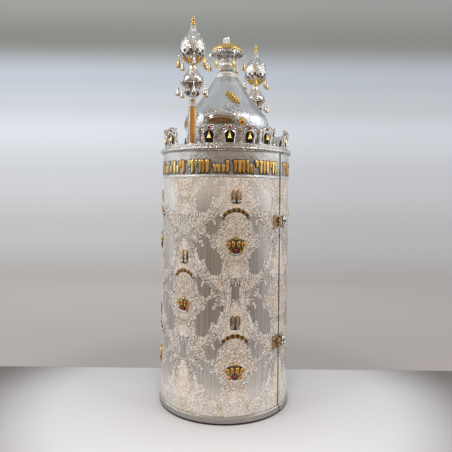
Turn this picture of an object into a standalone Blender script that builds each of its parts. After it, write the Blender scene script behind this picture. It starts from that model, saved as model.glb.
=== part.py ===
"""Torah scroll case: a tall round silver case that opens like a book.

Two half drums are hinged at the back (+Y) and meet at the front (-Y) in a straight seam,
held shut by two tongue-and-box clasps. The dome, its neck and the small canopy are split
along the same seam. A finial with two bulbs stands on each half.

Metres, +Z up. The origin is on the floor, on the axis of the closed case. The left half
is on the -X side and swings on the hinge; the right half is on the +X side.
"""
import math

import bmesh
import bpy
from mathutils import Matrix, Vector

# ---- driving dimensions ----------------------------------------------------------------
GAP = 0.0003                # air left between two pieces that touch
SEAM = 0.0016               # slit between the two closed halves

CASE_RADIUS = 0.140         # outside of the embossed silver sheet
SHEET = 0.001               # thickness of the silver sheet
WALL = 0.0087               # thickness of the wooden wall
CASE_TOP = 0.552            # height of the case under its gallery
FOOT_HEIGHT = 0.004
FOOT_PROUD = 0.002          # the foot pad reaches a little past the sheet
BOARD = 0.008               # floor and top boards
HALF_STEPS = 20             # facets round half of the case

BOTTOM_RING_TOP = 0.016
BOTTOM_RING_PROUD = 0.0032
LETTER_BAND_BOTTOM = 0.4896
TOP_RING_BOTTOM = 0.5415
TOP_RING_PROUD = 0.0058

PLATE = 0.0013              # silver plate that closes the top
STEP_WIDTH = 0.007          # raised step that carries the gallery
STEP_TOP = 0.557

GALLERY_RADIUS = 0.135      # outer face of the gallery at its foot
GALLERY_FLARE = 0.003       # how much further out its top is
GALLERY_SHEET = 0.0018
GALLERY_PITCH = math.radians(17.5)
GALLERY_FIRST = math.radians(21.6)
GALLERY_BAYS = 4            # bays on each side of the finial
ARCH_HALF_WIDTH = 0.0125
ARCH_SILL = 0.5595
ARCH_SPRING = 0.571
CREST_TOP = 0.596
CREST_SHOULDER = 0.5905
CREST_VALLEY = 0.5865
PILLAR_TOP = 0.592

DOME_SHEET = 0.0015
DOME_STEPS = 14
NECK_STEPS = 10
NECK_BOTTOM = 0.7170
NECK_RADIUS = 0.0255
CANOPY_BOTTOM = 0.7735
CANOPY_TOP = 0.7935
CANOPY_RADIUS = 0.036

FINIAL_OFFSET = 0.120       # finial axis from the case axis
FINIAL_STEPS = 14

HINGE_RADIUS = 0.1510       # hinge axis from the case axis, behind the rings
KNUCKLE_RADIUS = 0.0045
PIN_RADIUS = 0.0020
FITTING_HEIGHTS = {"lower": 0.150, "upper": 0.4004}

EMBLEM_PITCH = 0.2495        # the damask repeat, from one crown to the next below it
UPPER_CROWN_FOOT = 0.3350
CROWN_COLUMN = math.radians(45)
CROWN_RELIEF = 0.0032
MIDDLE_CROWN_SIZE = 0.83    # of the others
MIDDLE_CROWN_RAISE = 0.0060 # above half a repeat

# ---- worked out from them --------------------------------------------------------------
SHEET_INNER = CASE_RADIUS - SHEET
WALL_OUTER = SHEET_INNER - GAP
WALL_INNER = WALL_OUTER - WALL
FITTING_LIFT = 0.00035      # fittings on the sheet stand this far off its facets
BEND_STEP = CASE_RADIUS * math.pi / HALF_STEPS / 2   # arc between creases of a bent plate
PLATE_BOTTOM = CASE_TOP - PLATE + GAP
DECK = CASE_TOP + GAP       # top face of the silver plate

# Each half: its name, the sign of its X side and the direction it faces.
HALVES = {"left": (-1, math.pi), "right": (1, 0.0)}


# ---- materials -------------------------------------------------------------------------
def material(name, color, metallic, roughness):
    """A Principled material with plain values."""
    made = bpy.data.materials.new(name)
    made.use_nodes = True
    shader = made.node_tree.nodes["Principled BSDF"]
    shader.inputs["Base Color"].default_value = (*color, 1)
    shader.inputs["Metallic"].default_value = metallic
    shader.inputs["Roughness"].default_value = roughness
    made.diffuse_color = (*color, 1)
    return made


# ---- shaping tools ---------------------------------------------------------------------
def smooth_outline(points, per_span):
    """Points along a Catmull-Rom curve through (radius, height) points."""
    ends = [points[0]] + list(points) + [points[-1]]
    line = []
    for before, start, stop, after in zip(ends, ends[1:], ends[2:], ends[3:]):
        for step in range(per_span):
            t = step / per_span
            line.append(tuple(
                0.5 * (2 * b + (c - a) * t + (2 * a - 5 * b + 4 * c - d) * t ** 2
                       + (3 * b - a - 3 * c + d) * t ** 3)
                for a, b, c, d in zip(before, start, stop, after)))
    line.append(tuple(points[-1]))
    return line


def lathe(outline, steps, facing, sweep=math.pi):
    """A closed solid: a (radius, height) outline turned about Z, centred on `facing`."""
    bm = bmesh.new()
    start = facing - sweep / 2
    rim = [bm.verts.new((r * math.cos(start), r * math.sin(start), z)) for r, z in outline]
    spun = [
        bm.edges.new((rim[i - 1], rim[i]))
        for i in range(len(rim))
        if outline[i - 1][0] > 0 or outline[i][0] > 0
    ]
    bmesh.ops.spin(bm, geom=rim + spun, cent=(0, 0, 0), axis=(0, 0, 1), angle=sweep,
                   steps=steps, use_duplicate=False)
    bmesh.ops.remove_doubles(bm, verts=bm.verts, dist=1e-6)
    open_edges = [edge for edge in bm.edges if edge.is_boundary]
    if open_edges:
        bmesh.ops.holes_fill(bm, edges=open_edges, sides=0)
    return bm


def prism(outline, low, high):
    """A closed solid: an (x, y) outline raised from height `low` to `high`."""
    bm = bmesh.new()
    base = bm.faces.new([bm.verts.new((x, y, low)) for x, y in outline])
    raised = bmesh.ops.extrude_face_region(bm, geom=[base])["geom"]
    moved = [item for item in raised if isinstance(item, bmesh.types.BMVert)]
    bmesh.ops.translate(bm, verts=moved, vec=(0, 0, high - low))
    return bm


def around(facing, arc, radius):
    """The (x, y) of an arc length round the case, on the flat between two creases."""
    crease = math.floor(arc / BEND_STEP + 1e-6)
    share = arc / BEND_STEP - crease
    first, second = (facing + (crease + i) * BEND_STEP / CASE_RADIUS for i in (0, 1))
    x = (1 - share) * math.cos(first) + share * math.cos(second)
    y = (1 - share) * math.sin(first) + share * math.sin(second)
    return radius * x, radius * y


def bent_plate(outline, inner, outer, facing):
    """A plate wrapped round the case: an (arc length, height) outline, between two radii.

    Arc length runs anticlockwise, seen from above, from the direction `facing`. The plate is
    creased every BEND_STEP of arc, so that it follows the round wall.
    """
    bm = bmesh.new()
    low = bm.faces.new([bm.verts.new((s, inner, z)) for s, z in outline])
    raised = bmesh.ops.extrude_face_region(bm, geom=[low])["geom"]
    moved = [item for item in raised if isinstance(item, bmesh.types.BMVert)]
    bmesh.ops.translate(bm, verts=moved, vec=(0, outer - inner, 0))
    first = math.ceil(min(s for s, z in outline) / BEND_STEP)
    last = math.floor(max(s for s, z in outline) / BEND_STEP)
    for crease in range(first, last + 1):
        everything = bm.verts[:] + bm.edges[:] + bm.faces[:]
        bmesh.ops.bisect_plane(bm, geom=everything, dist=1e-6, plane_no=(1, 0, 0),
                               plane_co=(crease * BEND_STEP, 0, 0))
    for vert in bm.verts:
        vert.co = (*around(facing, vert.co.x, vert.co.y), vert.co.z)
    return bm


def circle_points(radius, count, centre=(0, 0)):
    """Points round a circle."""
    turns = [2 * math.pi * i / count for i in range(count)]
    return [(centre[0] + radius * math.cos(a), centre[1] + radius * math.sin(a)) for a in turns]


class Half:
    """One half of the case: its empty, and a way to add pieces to it."""

    def __init__(self, side, pivot):
        self.side = side
        self.sign, self.facing = HALVES[side]
        self.shift = Vector((self.sign * SEAM / 2, 0, 0))
        self.empty = bpy.data.objects.new(side + "_half", None)
        self.empty.location = pivot
        bpy.context.collection.objects.link(self.empty)

    def add(self, name, bm, finish, place=(0, 0, 0)):
        """Turn a bmesh into a named object that belongs to this half."""
        bmesh.ops.recalc_face_normals(bm, faces=bm.faces)
        if bm.calc_volume(signed=True) < 0:
            bmesh.ops.reverse_faces(bm, faces=bm.faces)
        mesh = bpy.data.meshes.new(name)
        bm.to_mesh(mesh)
        bm.free()
        mesh.shade_smooth()
        mesh.set_sharp_from_angle(angle=math.radians(32))
        mesh.materials.append(finish)
        made = bpy.data.objects.new(name, mesh)
        made.parent = self.empty
        made.location = Vector(place) + self.shift - self.empty.location
        bpy.context.collection.objects.link(made)
        return made

    def combine(self, target, bm, operation):
        """Add or cut a shape with a Boolean, from a hidden helper object."""
        helper = self.add(target.name + "_" + operation.lower(), bm, target.data.materials[0])
        helper.display_type = "WIRE"
        helper.hide_render = True
        boolean = target.modifiers.new(operation.title(), "BOOLEAN")
        boolean.operation = operation
        boolean.object = helper
        return helper

    def seam_facing(self, front):
        """Direction of this half's front or back edge, and the sign of arc length from it."""
        direction = -math.pi / 2 if front else math.pi / 2
        toward = self.sign if front else -self.sign
        return direction, toward


# ---- the wooden drum and its silver skin -----------------------------------------------
def wooden_drum(half, wood, felt):
    """Foot pad, floor board, wall and top board."""
    side = half.side
    foot_radius = CASE_RADIUS + FOOT_PROUD
    foot = [(0, 0), (foot_radius, 0), (foot_radius, FOOT_HEIGHT), (0, FOOT_HEIGHT)]
    half.add(side + "_foot_pad", lathe(foot, HALF_STEPS, half.facing), felt)

    low = FOOT_HEIGHT + GAP
    high = PLATE_BOTTOM - GAP
    wall = [(WALL_INNER, low), (WALL_OUTER, low), (WALL_OUTER, high), (WALL_INNER, high)]
    half.add(side + "_wall", lathe(wall, HALF_STEPS, half.facing), wood)

    board_radius = WALL_INNER - GAP
    for name, base in (("_floor_board", low), ("_top_board", high - BOARD)):
        board = [(0, base), (board_radius, base), (board_radius, base + BOARD), (0, base + BOARD)]
        half.add(side + name, lathe(board, HALF_STEPS, half.facing), wood)


def silver_skin(half, damask, silver):
    """Embossed sheet, letter band, and the two ring mouldings."""
    side = half.side
    sheets = (
        ("_damask_sheet", BOTTOM_RING_TOP + GAP, LETTER_BAND_BOTTOM, damask),
        ("_letter_band", LETTER_BAND_BOTTOM + GAP, TOP_RING_BOTTOM - GAP, silver),
    )
    for name, low, high, finish in sheets:
        outline = [(SHEET_INNER, low), (CASE_RADIUS, low), (CASE_RADIUS, high), (SHEET_INNER, high)]
        half.add(side + name, lathe(outline, HALF_STEPS, half.facing), finish)

    low, high = FOOT_HEIGHT + GAP, BOTTOM_RING_TOP
    proud = CASE_RADIUS + BOTTOM_RING_PROUD
    round_off = BOTTOM_RING_PROUD * 0.6
    bottom = [
        (SHEET_INNER, low), (proud, low), (proud, high - round_off),
        (proud - round_off, high), (SHEET_INNER, high),
    ]
    half.add(side + "_bottom_ring", lathe(bottom, HALF_STEPS, half.facing), silver)

    low, high = TOP_RING_BOTTOM, CASE_TOP
    proud = CASE_RADIUS + TOP_RING_PROUD
    round_off = TOP_RING_PROUD * 0.5
    top = [
        (SHEET_INNER, low), (CASE_RADIUS + round_off * 0.6, low), (proud, low + round_off),
        (proud, high - round_off), (proud - round_off, high), (SHEET_INNER, high),
    ]
    half.add(side + "_top_ring", lathe(top, HALF_STEPS, half.facing), silver)


def top_plate(half, silver):
    """Silver plate that closes the top, with the raised step that carries the gallery."""
    step_outer = WALL_OUTER
    step_inner = step_outer - STEP_WIDTH
    outline = [
        (0, PLATE_BOTTOM), (step_outer, PLATE_BOTTOM), (step_outer, STEP_TOP - 0.0015),
        (step_outer - 0.0015, STEP_TOP), (step_inner, STEP_TOP), (step_inner, CASE_TOP),
        (0, CASE_TOP),
    ]
    half.add(half.side + "_top_plate", lathe(outline, HALF_STEPS, half.facing), silver)


# ---- the pierced gallery ---------------------------------------------------------------
def gallery_radius(height):
    """Radius of the gallery's outer face, which leans out a little."""
    rise = (height - STEP_TOP) / (CREST_TOP - STEP_TOP)
    return GALLERY_RADIUS + GALLERY_FLARE * rise


def arcade(half, toward):
    """Outer skin of one row of arches, on one side of the finial."""
    bm = bmesh.new()
    foot = STEP_TOP + GAP
    known = {}

    def vert(angle, height):
        key = (round(angle, 6), round(height, 6))
        if key not in known:
            radius = gallery_radius(height)
            turn = half.facing + toward * angle
            known[key] = bm.verts.new((radius * math.cos(turn), radius * math.sin(turn), height))
        return known[key]

    arch_angle = ARCH_HALF_WIDTH / GALLERY_RADIUS
    arch_turns = [math.pi * i / 4 for i in range(5)]
    half_pitch = GALLERY_PITCH / 2
    cap = (half_pitch - arch_angle) * 0.55

    for bay in range(GALLERY_BAYS):
        centre = GALLERY_FIRST + bay * GALLERY_PITCH
        columns = []
        for turn in arch_turns:
            angle = centre - arch_angle * math.cos(turn)
            arch = ARCH_SPRING + ARCH_HALF_WIDTH * math.sin(turn)
            crest = CREST_SHOULDER + (CREST_TOP - CREST_SHOULDER) * math.sin(turn)
            columns.append((angle, arch, crest))
        for left, right in zip(columns, columns[1:]):
            bm.faces.new([vert(left[0], foot), vert(right[0], foot),
                          vert(right[0], ARCH_SILL), vert(left[0], ARCH_SILL)])
            bm.faces.new([vert(left[0], left[1]), vert(right[0], right[1]),
                          vert(right[0], right[2]), vert(left[0], left[2])])

    for post in range(GALLERY_BAYS + 1):
        centre = GALLERY_FIRST + (post - 0.5) * GALLERY_PITCH
        reach = half_pitch - arch_angle
        low_side = centre - (reach if post > 0 else cap)
        high_side = centre + (reach if post < GALLERY_BAYS else cap)
        outline = [(low_side, foot), (high_side, foot)]
        if post < GALLERY_BAYS:
            outline += [(high_side, ARCH_SILL), (high_side, ARCH_SPRING),
                        (high_side, CREST_SHOULDER), (centre + cap * 1.15, CREST_VALLEY)]
        outline += [(centre + cap, CREST_VALLEY + 0.002), (centre, PILLAR_TOP),
                    (centre - cap, CREST_VALLEY + 0.002)]
        if post > 0:
            outline += [(centre - cap * 1.15, CREST_VALLEY), (low_side, CREST_SHOULDER),
                        (low_side, ARCH_SPRING), (low_side, ARCH_SILL)]
        bm.faces.new([vert(angle, height) for angle, height in outline])
    return bm


def gallery(half, silver):
    """The two rows of arches of one half, as pierced sheet."""
    for end, toward in (("front", half.sign), ("back", -half.sign)):
        skin = arcade(half, -toward)
        made = half.add(half.side + "_gallery_" + end, skin, silver)
        thick = made.modifiers.new("Sheet", "SOLIDIFY")
        thick.thickness = GALLERY_SHEET
        thick.offset = -1


# ---- dome, neck and canopy -------------------------------------------------------------
def dome(half, silver):
    """Half of the hollow ogee dome."""
    outer = smooth_outline([
        (0.0885, DECK), (0.0884, 0.589), (0.0924, 0.612), (0.0880, 0.6285), (0.0650, 0.657),
        (0.0425, 0.690), (0.0338, 0.7045), (NECK_RADIUS, NECK_BOTTOM),
    ], 2)
    inner = [(r - DOME_SHEET * 1.3, z) for r, z in reversed(outer[::2])]
    inner[0] = (0, NECK_BOTTOM - DOME_SHEET)
    inner.insert(1, (NECK_RADIUS - 0.002, NECK_BOTTOM - DOME_SHEET))
    outline = outer + [(0, NECK_BOTTOM)] + inner
    half.add(half.side + "_dome", lathe(outline, DOME_STEPS, half.facing), silver)


def neck(half, silver):
    """Half of the turned neck with its two beads."""
    low = NECK_BOTTOM + GAP
    high = CANOPY_BOTTOM
    outline = [
        (0, low), (0.0240, low), (0.0238, 0.7262), (0.0195, 0.7292), (0.0162, 0.7330),
        (0.0112, 0.7395), (0.0133, 0.7460), (0.0112, 0.7520), (0.0133, 0.7580),
        (0.0107, 0.7640), (0.0107, high), (0, high),
    ]
    half.add(half.side + "_neck", lathe(outline, NECK_STEPS, half.facing), silver)


def canopy(half, gilt):
    """Half of the shallow gilt canopy, dished underneath."""
    low = CANOPY_BOTTOM + GAP
    flat = 0.012
    outline = [
        (0, low), (0.0140, low), (CANOPY_RADIUS - 0.0025, low + 0.002), (CANOPY_RADIUS, low),
        (CANOPY_RADIUS, low + 0.005), (0.0310, 0.7850), (0.0225, 0.7905),
        (flat, CANOPY_TOP), (0, CANOPY_TOP),
    ]
    half.add(half.side + "_canopy", lathe(outline, NECK_STEPS, half.facing), gilt)


def finial_tablets(half, silver):
    """The pair of round-topped tablets on the canopy, side by side in one casting."""
    width, height, thick = 0.0085, 0.0157, 0.003
    shoulder = height - width / 2
    outline = [(-width, 0), (width, 0)]
    for centre in (width / 2, -width / 2):
        for turn in range(5):
            angle = math.pi * turn / 4
            point = (centre + width / 2 * math.cos(angle), shoulder + width / 2 * math.sin(angle))
            if outline[-1] != point and abs(outline[-1][0] - point[0]) + \
                    abs(outline[-1][1] - point[1]) > 1e-6:
                outline.append(point)
    bm = prism(outline, 0, thick)
    upright = Matrix(((0, 0, 1, 0), (1, 0, 0, 0), (0, 1, 0, 0), (0, 0, 0, 1)))
    bmesh.ops.transform(bm, matrix=upright, verts=bm.verts)
    half.add("finial_tablets", bm, silver, (-0.0015 - thick, 0, CANOPY_TOP + GAP))


# ---- finials ---------------------------------------------------------------------------
def finial(half, silver, gilt):
    """Staff, two bulbs and a gilt tip, turned round one axis."""
    place = (half.sign * (FINIAL_OFFSET - SEAM / 2), 0, 0)
    staff_top, waist_top, spire_top = 0.6563, 0.7215, 0.8032
    staff = [
        (0, DECK), (0.0105, DECK), (0.0105, 0.5560), (0.0083, 0.5585), (0.0083, 0.6356),
        (0.0095, 0.6376), (0.0095, 0.6406), (0.0062, 0.6431), (0.0062, 0.6496),
        (0.0088, staff_top), (0, staff_top),
    ]
    lower = smooth_outline([
        (0.0090, staff_top + GAP), (0.0138, 0.6645), (0.0172, 0.6695), (0.0218, 0.6835),
        (0.0200, 0.6930), (0.0130, 0.7035), (0.0068, 0.7150), (0.0078, 0.7192),
        (0.0055, waist_top),
    ], 1)
    upper = smooth_outline([
        (0.0055, waist_top + GAP), (0.0140, 0.7290), (0.0250, 0.7400), (0.0274, 0.7530),
        (0.0255, 0.7650), (0.0195, 0.7750), (0.0120, 0.7870), (0.0072, 0.7965),
        (0.0046, spire_top),
    ], 1)
    tip = [
        (0, spire_top + GAP), (0.0046, spire_top + GAP), (0.0052, 0.8068), (0.0030, 0.8110),
        (0.0040, 0.8168), (0.0022, 0.8208), (0, 0.8234),
    ]
    lower = [(0, lower[0][1])] + lower + [(0, lower[-1][1])]
    upper = [(0, upper[0][1])] + upper + [(0, upper[-1][1])]
    pieces = (
        ("_finial_staff", staff, 8, silver),
        ("_finial_lower_bulb", lower, FINIAL_STEPS, silver),
        ("_finial_upper_bulb", upper, FINIAL_STEPS, silver),
        ("_finial_tip", tip, 10, gilt),
    )
    for name, outline, steps, finish in pieces:
        bm = lathe(outline, steps, half.facing, 2 * math.pi)
        half.add(half.side + name, bm, finish, place)


# ---- crown ornaments -------------------------------------------------------------------
def crown_ornaments(half, gilt):
    """Five gilt crowns: two on each side column and a smaller one between them."""
    right_side = [
        (0.0085, 0), (0.0125, 0.005), (0.0193, 0.022), (0.0185, 0.028), (0.0130, 0.031),
        (0.0060, 0.0335), (0.0035, 0.0395),
    ]
    outline = right_side + [(-s, z) for s, z in reversed(right_side)]
    inner = CASE_RADIUS + FITTING_LIFT
    lower = UPPER_CROWN_FOOT - EMBLEM_PITCH
    middle = UPPER_CROWN_FOOT - EMBLEM_PITCH / 2 + MIDDLE_CROWN_RAISE
    places = (
        ("upper_front", 1, UPPER_CROWN_FOOT), ("lower_front", 1, lower), ("middle", 0, middle),
        ("upper_back", -1, UPPER_CROWN_FOOT), ("lower_back", -1, lower),
    )
    for name, column, foot in places:
        facing = half.facing - half.sign * column * CROWN_COLUMN
        size = 1.0 if column else MIDDLE_CROWN_SIZE
        raised = [(s * size, foot + z * size) for s, z in outline]
        bm = bent_plate(raised, inner, inner + CROWN_RELIEF, facing)
        half.add(half.side + "_crown_" + name, bm, gilt)


# ---- hinges and clasps -----------------------------------------------------------------
def box(low, high):
    """A box between two corners."""
    corners = [(low[0], low[1]), (high[0], low[1]), (high[0], high[1]), (low[0], high[1])]
    return prism(corners, low[2], high[2])


def hinge_leaf(half, level, height, silver):
    """A leaf round the back of the case and its knuckle: low on the left, high on the right."""
    tall = 0.028                # half of the leaf's height
    facing, toward = half.seam_facing(front=False)
    ends = (0.0010, 0.0200)
    outline = [(toward * s, height - tall) for s in ends]
    outline += [(toward * s, height + tall) for s in reversed(ends)]
    inner = CASE_RADIUS + FITTING_LIFT
    leaf = bent_plate(outline, inner, inner + 0.0016, facing)
    made = half.add(half.side + "_" + level + "_hinge_leaf", leaf, silver)

    low, high = (height - tall, height - GAP / 2) if half.sign < 0 else (height + GAP / 2, height + tall)
    seam_edge = half.sign * (0.0012 - SEAM / 2)
    web_edge = half.sign * (KNUCKLE_RADIUS - SEAM / 2)
    web_low, web_high = sorted((seam_edge, web_edge))
    web = box((web_low, inner + 0.0003, low), (web_high, HINGE_RADIUS, high))
    half.combine(made, web, "UNION")
    centre = (-half.shift.x, HINGE_RADIUS)
    knuckle = prism(circle_points(KNUCKLE_RADIUS, 12, centre), low, high)
    half.combine(made, knuckle, "UNION")
    bore = prism(circle_points(PIN_RADIUS + GAP, 12, centre), low - 0.001, high + 0.001)
    half.combine(made, bore, "DIFFERENCE")


def hinge_pin(half, level, height, silver):
    """A pin with a round head at each end, carried by the right half."""
    end = 0.028 + GAP
    head = KNUCKLE_RADIUS * 0.85
    outline = [
        (0, -end - 0.004), (head * 0.6, -end - 0.003), (head, -end), (PIN_RADIUS, -end),
        (PIN_RADIUS, end), (head, end), (head * 0.6, end + 0.003), (0, end + 0.004),
    ]
    bm = lathe(outline, 8, half.facing, 2 * math.pi)
    half.add(level + "_hinge_pin", bm, silver, (-half.shift.x, HINGE_RADIUS, height))


def clasp_tongue(half, level, height, silver):
    """Left side of a clasp: a shield plate, a raised block and the tongue it carries."""
    facing, toward = half.seam_facing(front=True)
    shield = [
        (0.0004, 0.0140), (0.0004, -0.0110), (0.0050, -0.0140), (0.0100, -0.0112),
        (0.0145, -0.0134), (0.0190, -0.0100), (0.0208, -0.0010), (0.0208, 0.0140),
    ]
    outline = [(toward * s, height + z) for s, z in shield]
    inner = CASE_RADIUS + FITTING_LIFT
    plate = bent_plate(outline, inner, inner + 0.0018, facing)
    made = half.add(half.side + "_" + level + "_clasp", plate, silver)
    surface = CASE_RADIUS + 0.0015
    block = box((-0.0110, -CASE_RADIUS - 0.0066, height - 0.0090),
                (-0.0001, -surface, height + 0.0090))
    half.combine(made, block, "UNION")
    tongue = box((-0.0060, -CASE_RADIUS - 0.0052, height - 0.0050),
                 (0.0072, -CASE_RADIUS - 0.0034, height + 0.0050))
    half.combine(made, tongue, "UNION")


def clasp_box(half, level, height, silver):
    """Right side of a clasp: a shield plate and the box that takes the tongue."""
    facing, toward = half.seam_facing(front=True)
    shield = [
        (0.0004, 0.0140), (0.0004, -0.0110), (0.0040, -0.0134), (0.0085, -0.0112),
        (0.0130, -0.0140), (0.0180, -0.0100), (0.0180, 0.0140),
    ]
    outline = [(toward * s, height + z) for s, z in shield]
    inner = CASE_RADIUS + FITTING_LIFT
    plate = bent_plate(outline, inner, inner + 0.0018, facing)
    made = half.add(half.side + "_" + level + "_clasp", plate, silver)
    surface = CASE_RADIUS + 0.0012
    shell = box((0.0001, -CASE_RADIUS - 0.0082, height - 0.0100),
                (0.0145, -surface, height + 0.0100))
    half.combine(made, shell, "UNION")
    slot = box((-0.0010, -CASE_RADIUS - 0.0060, height - 0.0058),
               (0.0095, -CASE_RADIUS - 0.0026, height + 0.0058))
    half.combine(made, slot, "DIFFERENCE")


# ---- assembly --------------------------------------------------------------------------
def main():
    for old in list(bpy.data.objects):
        bpy.data.objects.remove(old, do_unlink=True)

    silver = material("polished_silver", (0.86, 0.85, 0.83), 1.0, 0.20)
    damask = material("embossed_silver", (0.80, 0.77, 0.73), 1.0, 0.42)
    gilt = material("gilt", (0.83, 0.60, 0.24), 1.0, 0.25)
    wood = material("stained_wood", (0.25, 0.13, 0.07), 0.0, 0.50)
    felt = material("black_felt", (0.015, 0.015, 0.016), 0.0, 0.90)

    pivots = {"left": (0, HINGE_RADIUS, 0), "right": (0, 0, 0)}
    for side, pivot in pivots.items():
        half = Half(side, pivot)
        wooden_drum(half, wood, felt)
        silver_skin(half, damask, silver)
        top_plate(half, silver)
        gallery(half, silver)
        dome(half, silver)
        neck(half, silver)
        canopy(half, gilt)
        finial(half, silver, gilt)
        crown_ornaments(half, gilt)
        for level, height in FITTING_HEIGHTS.items():
            hinge_leaf(half, level, height, silver)
            if side == "left":
                clasp_tongue(half, level, height, silver)
            else:
                clasp_box(half, level, height, silver)
                hinge_pin(half, level, height, silver)
        if side == "left":
            finial_tablets(half, silver)


main()
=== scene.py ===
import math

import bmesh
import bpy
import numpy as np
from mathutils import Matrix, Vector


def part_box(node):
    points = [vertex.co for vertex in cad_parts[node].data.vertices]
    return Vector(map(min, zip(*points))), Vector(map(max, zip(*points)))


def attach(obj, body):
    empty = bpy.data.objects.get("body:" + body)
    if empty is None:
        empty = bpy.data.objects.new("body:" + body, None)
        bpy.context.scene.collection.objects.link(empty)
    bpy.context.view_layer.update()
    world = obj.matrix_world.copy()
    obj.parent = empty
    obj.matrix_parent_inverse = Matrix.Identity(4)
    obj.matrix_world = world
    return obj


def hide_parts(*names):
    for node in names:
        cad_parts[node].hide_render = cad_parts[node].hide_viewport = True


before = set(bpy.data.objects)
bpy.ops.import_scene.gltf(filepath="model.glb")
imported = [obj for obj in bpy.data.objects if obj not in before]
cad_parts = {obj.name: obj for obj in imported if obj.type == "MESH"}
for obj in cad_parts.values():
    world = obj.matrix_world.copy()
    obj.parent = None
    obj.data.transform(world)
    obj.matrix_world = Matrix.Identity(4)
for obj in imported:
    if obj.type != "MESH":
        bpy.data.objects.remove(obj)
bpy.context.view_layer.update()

# %% [markdown]
# # A silver Torah case
#
# The object is a tall round case that opens like a book. Its wooden drum wears a sheet of
# embossed silver with a damask pattern, a band of gilt strokes, and gilt emblems. A pierced
# gallery, an ogee dome, a little canopy with bells and two tall finials stand on top.
#
# The CAD frame gives every place and size. Most of its pieces are faceted, so that they stay
# light, and this script puts smooth and finely worked pieces where they are. It could also
# smooth the CAD meshes, but embossing, beads and pierced arches need their own meshes.

MM = 0.001
scene = bpy.context.scene

# %% [markdown]
# ## Sizes
#
# Every size here is one that the CAD model has too. Where a node's own box gives a height or
# a radius, it is read from the frame, so the visible piece can't drift away from its solid.
# The rest, such as the spacing of the arches, is written once and used by name.

# %% Sizes taken from the frame
def low(node):
    """Lowest corner of a CAD node."""
    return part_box(node)[0]


def high(node):
    """Highest corner of a CAD node."""
    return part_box(node)[1]


SEAM = 1.6 * MM
CASE = 140 * MM
SHEET = 139 * MM
WALL_OUT = 138.7 * MM
WALL_IN = 130 * MM
SHEET_LOW = low("left_damask_sheet").z
SHEET_TOP = high("left_damask_sheet").z
BAND_LOW = low("left_letter_band").z
BAND_TOP = high("left_letter_band").z
RING_TOP = high("left_top_ring").z
STEP_TOP = high("left_top_plate").z
DECK = low("left_dome").z
DOME_TOP = high("left_dome").z
STAFF_OFFSET = (high("right_finial_staff").x + low("right_finial_staff").x) / 2
TIP_TOP = high("left_finial_tip").z

# Each half: the sign of its X side and the direction that it faces.
HALVES = {"left": (-1, math.pi), "right": (1, 0.0)}
print("sheet", round(SHEET_LOW, 4), round(SHEET_TOP, 4), "staff at", round(STAFF_OFFSET, 4))

# %% [markdown]
# ## Skins through rows of points
#
# A turned ring, a bell, a wire and a raised petal are all the same kind of surface: rows of
# points with a skin between them. Blender's Screw modifier could turn an outline, and curves
# could make wires, but one function that skins rows makes them all and leaves plain meshes.
# A row of a single point closes a shape to a tip.

# %% Skins and the shapes made of them
def loft(rows, wrap=True):
    """Points and faces of a skin through rows of points."""
    points, numbers, faces = [], [], []
    for row in rows:
        numbers.append(range(len(points), len(points) + len(row)))
        points.extend(row)
    width = max(len(row) for row in rows)
    for below, above in zip(numbers, numbers[1:]):
        for i in range(width if wrap else width - 1):
            j = (i + 1) % width
            corners = (below[i % len(below)], below[j % len(below)],
                       above[j % len(above)], above[i % len(above)])
            faces.append(tuple(dict.fromkeys(corners)))
    return points, faces


def smooth(points, spans=6, closed=False):
    """More points along a Catmull-Rom curve through the given ones."""
    p = [np.array(q, float) for q in points]
    p = [p[-1]] + p + p[:2] if closed else [p[0]] + p + [p[-1]]
    line = []
    for a, b, c, d in zip(p, p[1:], p[2:], p[3:]):
        for t in np.arange(spans) / spans:
            line.append(0.5 * (2 * b + (c - a) * t + (2 * a - 5 * b + 4 * c - d) * t ** 2
                               + (3 * b - a - 3 * c + d) * t ** 3))
    if not closed:
        line.append(p[-2])
    return [tuple(q) for q in line]


def turned(outline, centre=(0, 0, 0), steps=24):
    """A (radius, height) outline turned all the way round an upright axis."""
    x, y, z = centre
    rows = []
    for r, h in outline:
        turns = np.arange(steps if r > 1e-7 else 1) * 2 * math.pi / steps
        rows.append([(x + r * math.cos(a), y + r * math.sin(a), z + h) for a in turns])
    return loft(rows)


def half_turned(outline, side, steps=96):
    """A closed (radius, height) outline turned through one half of the case, with end faces."""
    sign, facing = HALVES[side]
    rows = []
    for step in range(steps + 1):
        a = facing - math.pi / 2 + math.pi * step / steps
        rows.append([(sign * SEAM / 2 + r * math.cos(a), r * math.sin(a), z) for r, z in outline])
    points, faces = loft(rows)
    count = len(outline)
    faces.append(tuple(range(count)))
    faces.append(tuple(range(len(points) - 1, len(points) - count - 1, -1)))
    return points, faces


def wire(path, radius, sides=8):
    """A round wire along a path. The radius may be one number or one for each point."""
    path = [Vector(p) for p in path]
    radii = [radius] * len(path) if isinstance(radius, (int, float)) else radius
    rows, across = [], None
    for i, point in enumerate(path):
        along = (path[min(i + 1, len(path) - 1)] - path[max(i - 1, 0)]).normalized()
        if across is None:
            across = along.orthogonal().normalized()
        across = (across - along * across.dot(along)).normalized()
        other = along.cross(across)
        turns = [2 * math.pi * s / sides for s in range(sides)]
        rows.append([point + radii[i] * (math.cos(t) * across + math.sin(t) * other)
                     for t in turns])
    return loft([[path[0]]] + rows + [[path[-1]]])


def bead(centre, radius, steps=10):
    """A small ball."""
    outline = [(radius * math.sin(t), -radius * math.cos(t))
               for t in np.linspace(0, math.pi, steps // 2 + 2)]
    return turned(outline, centre, steps)


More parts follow.
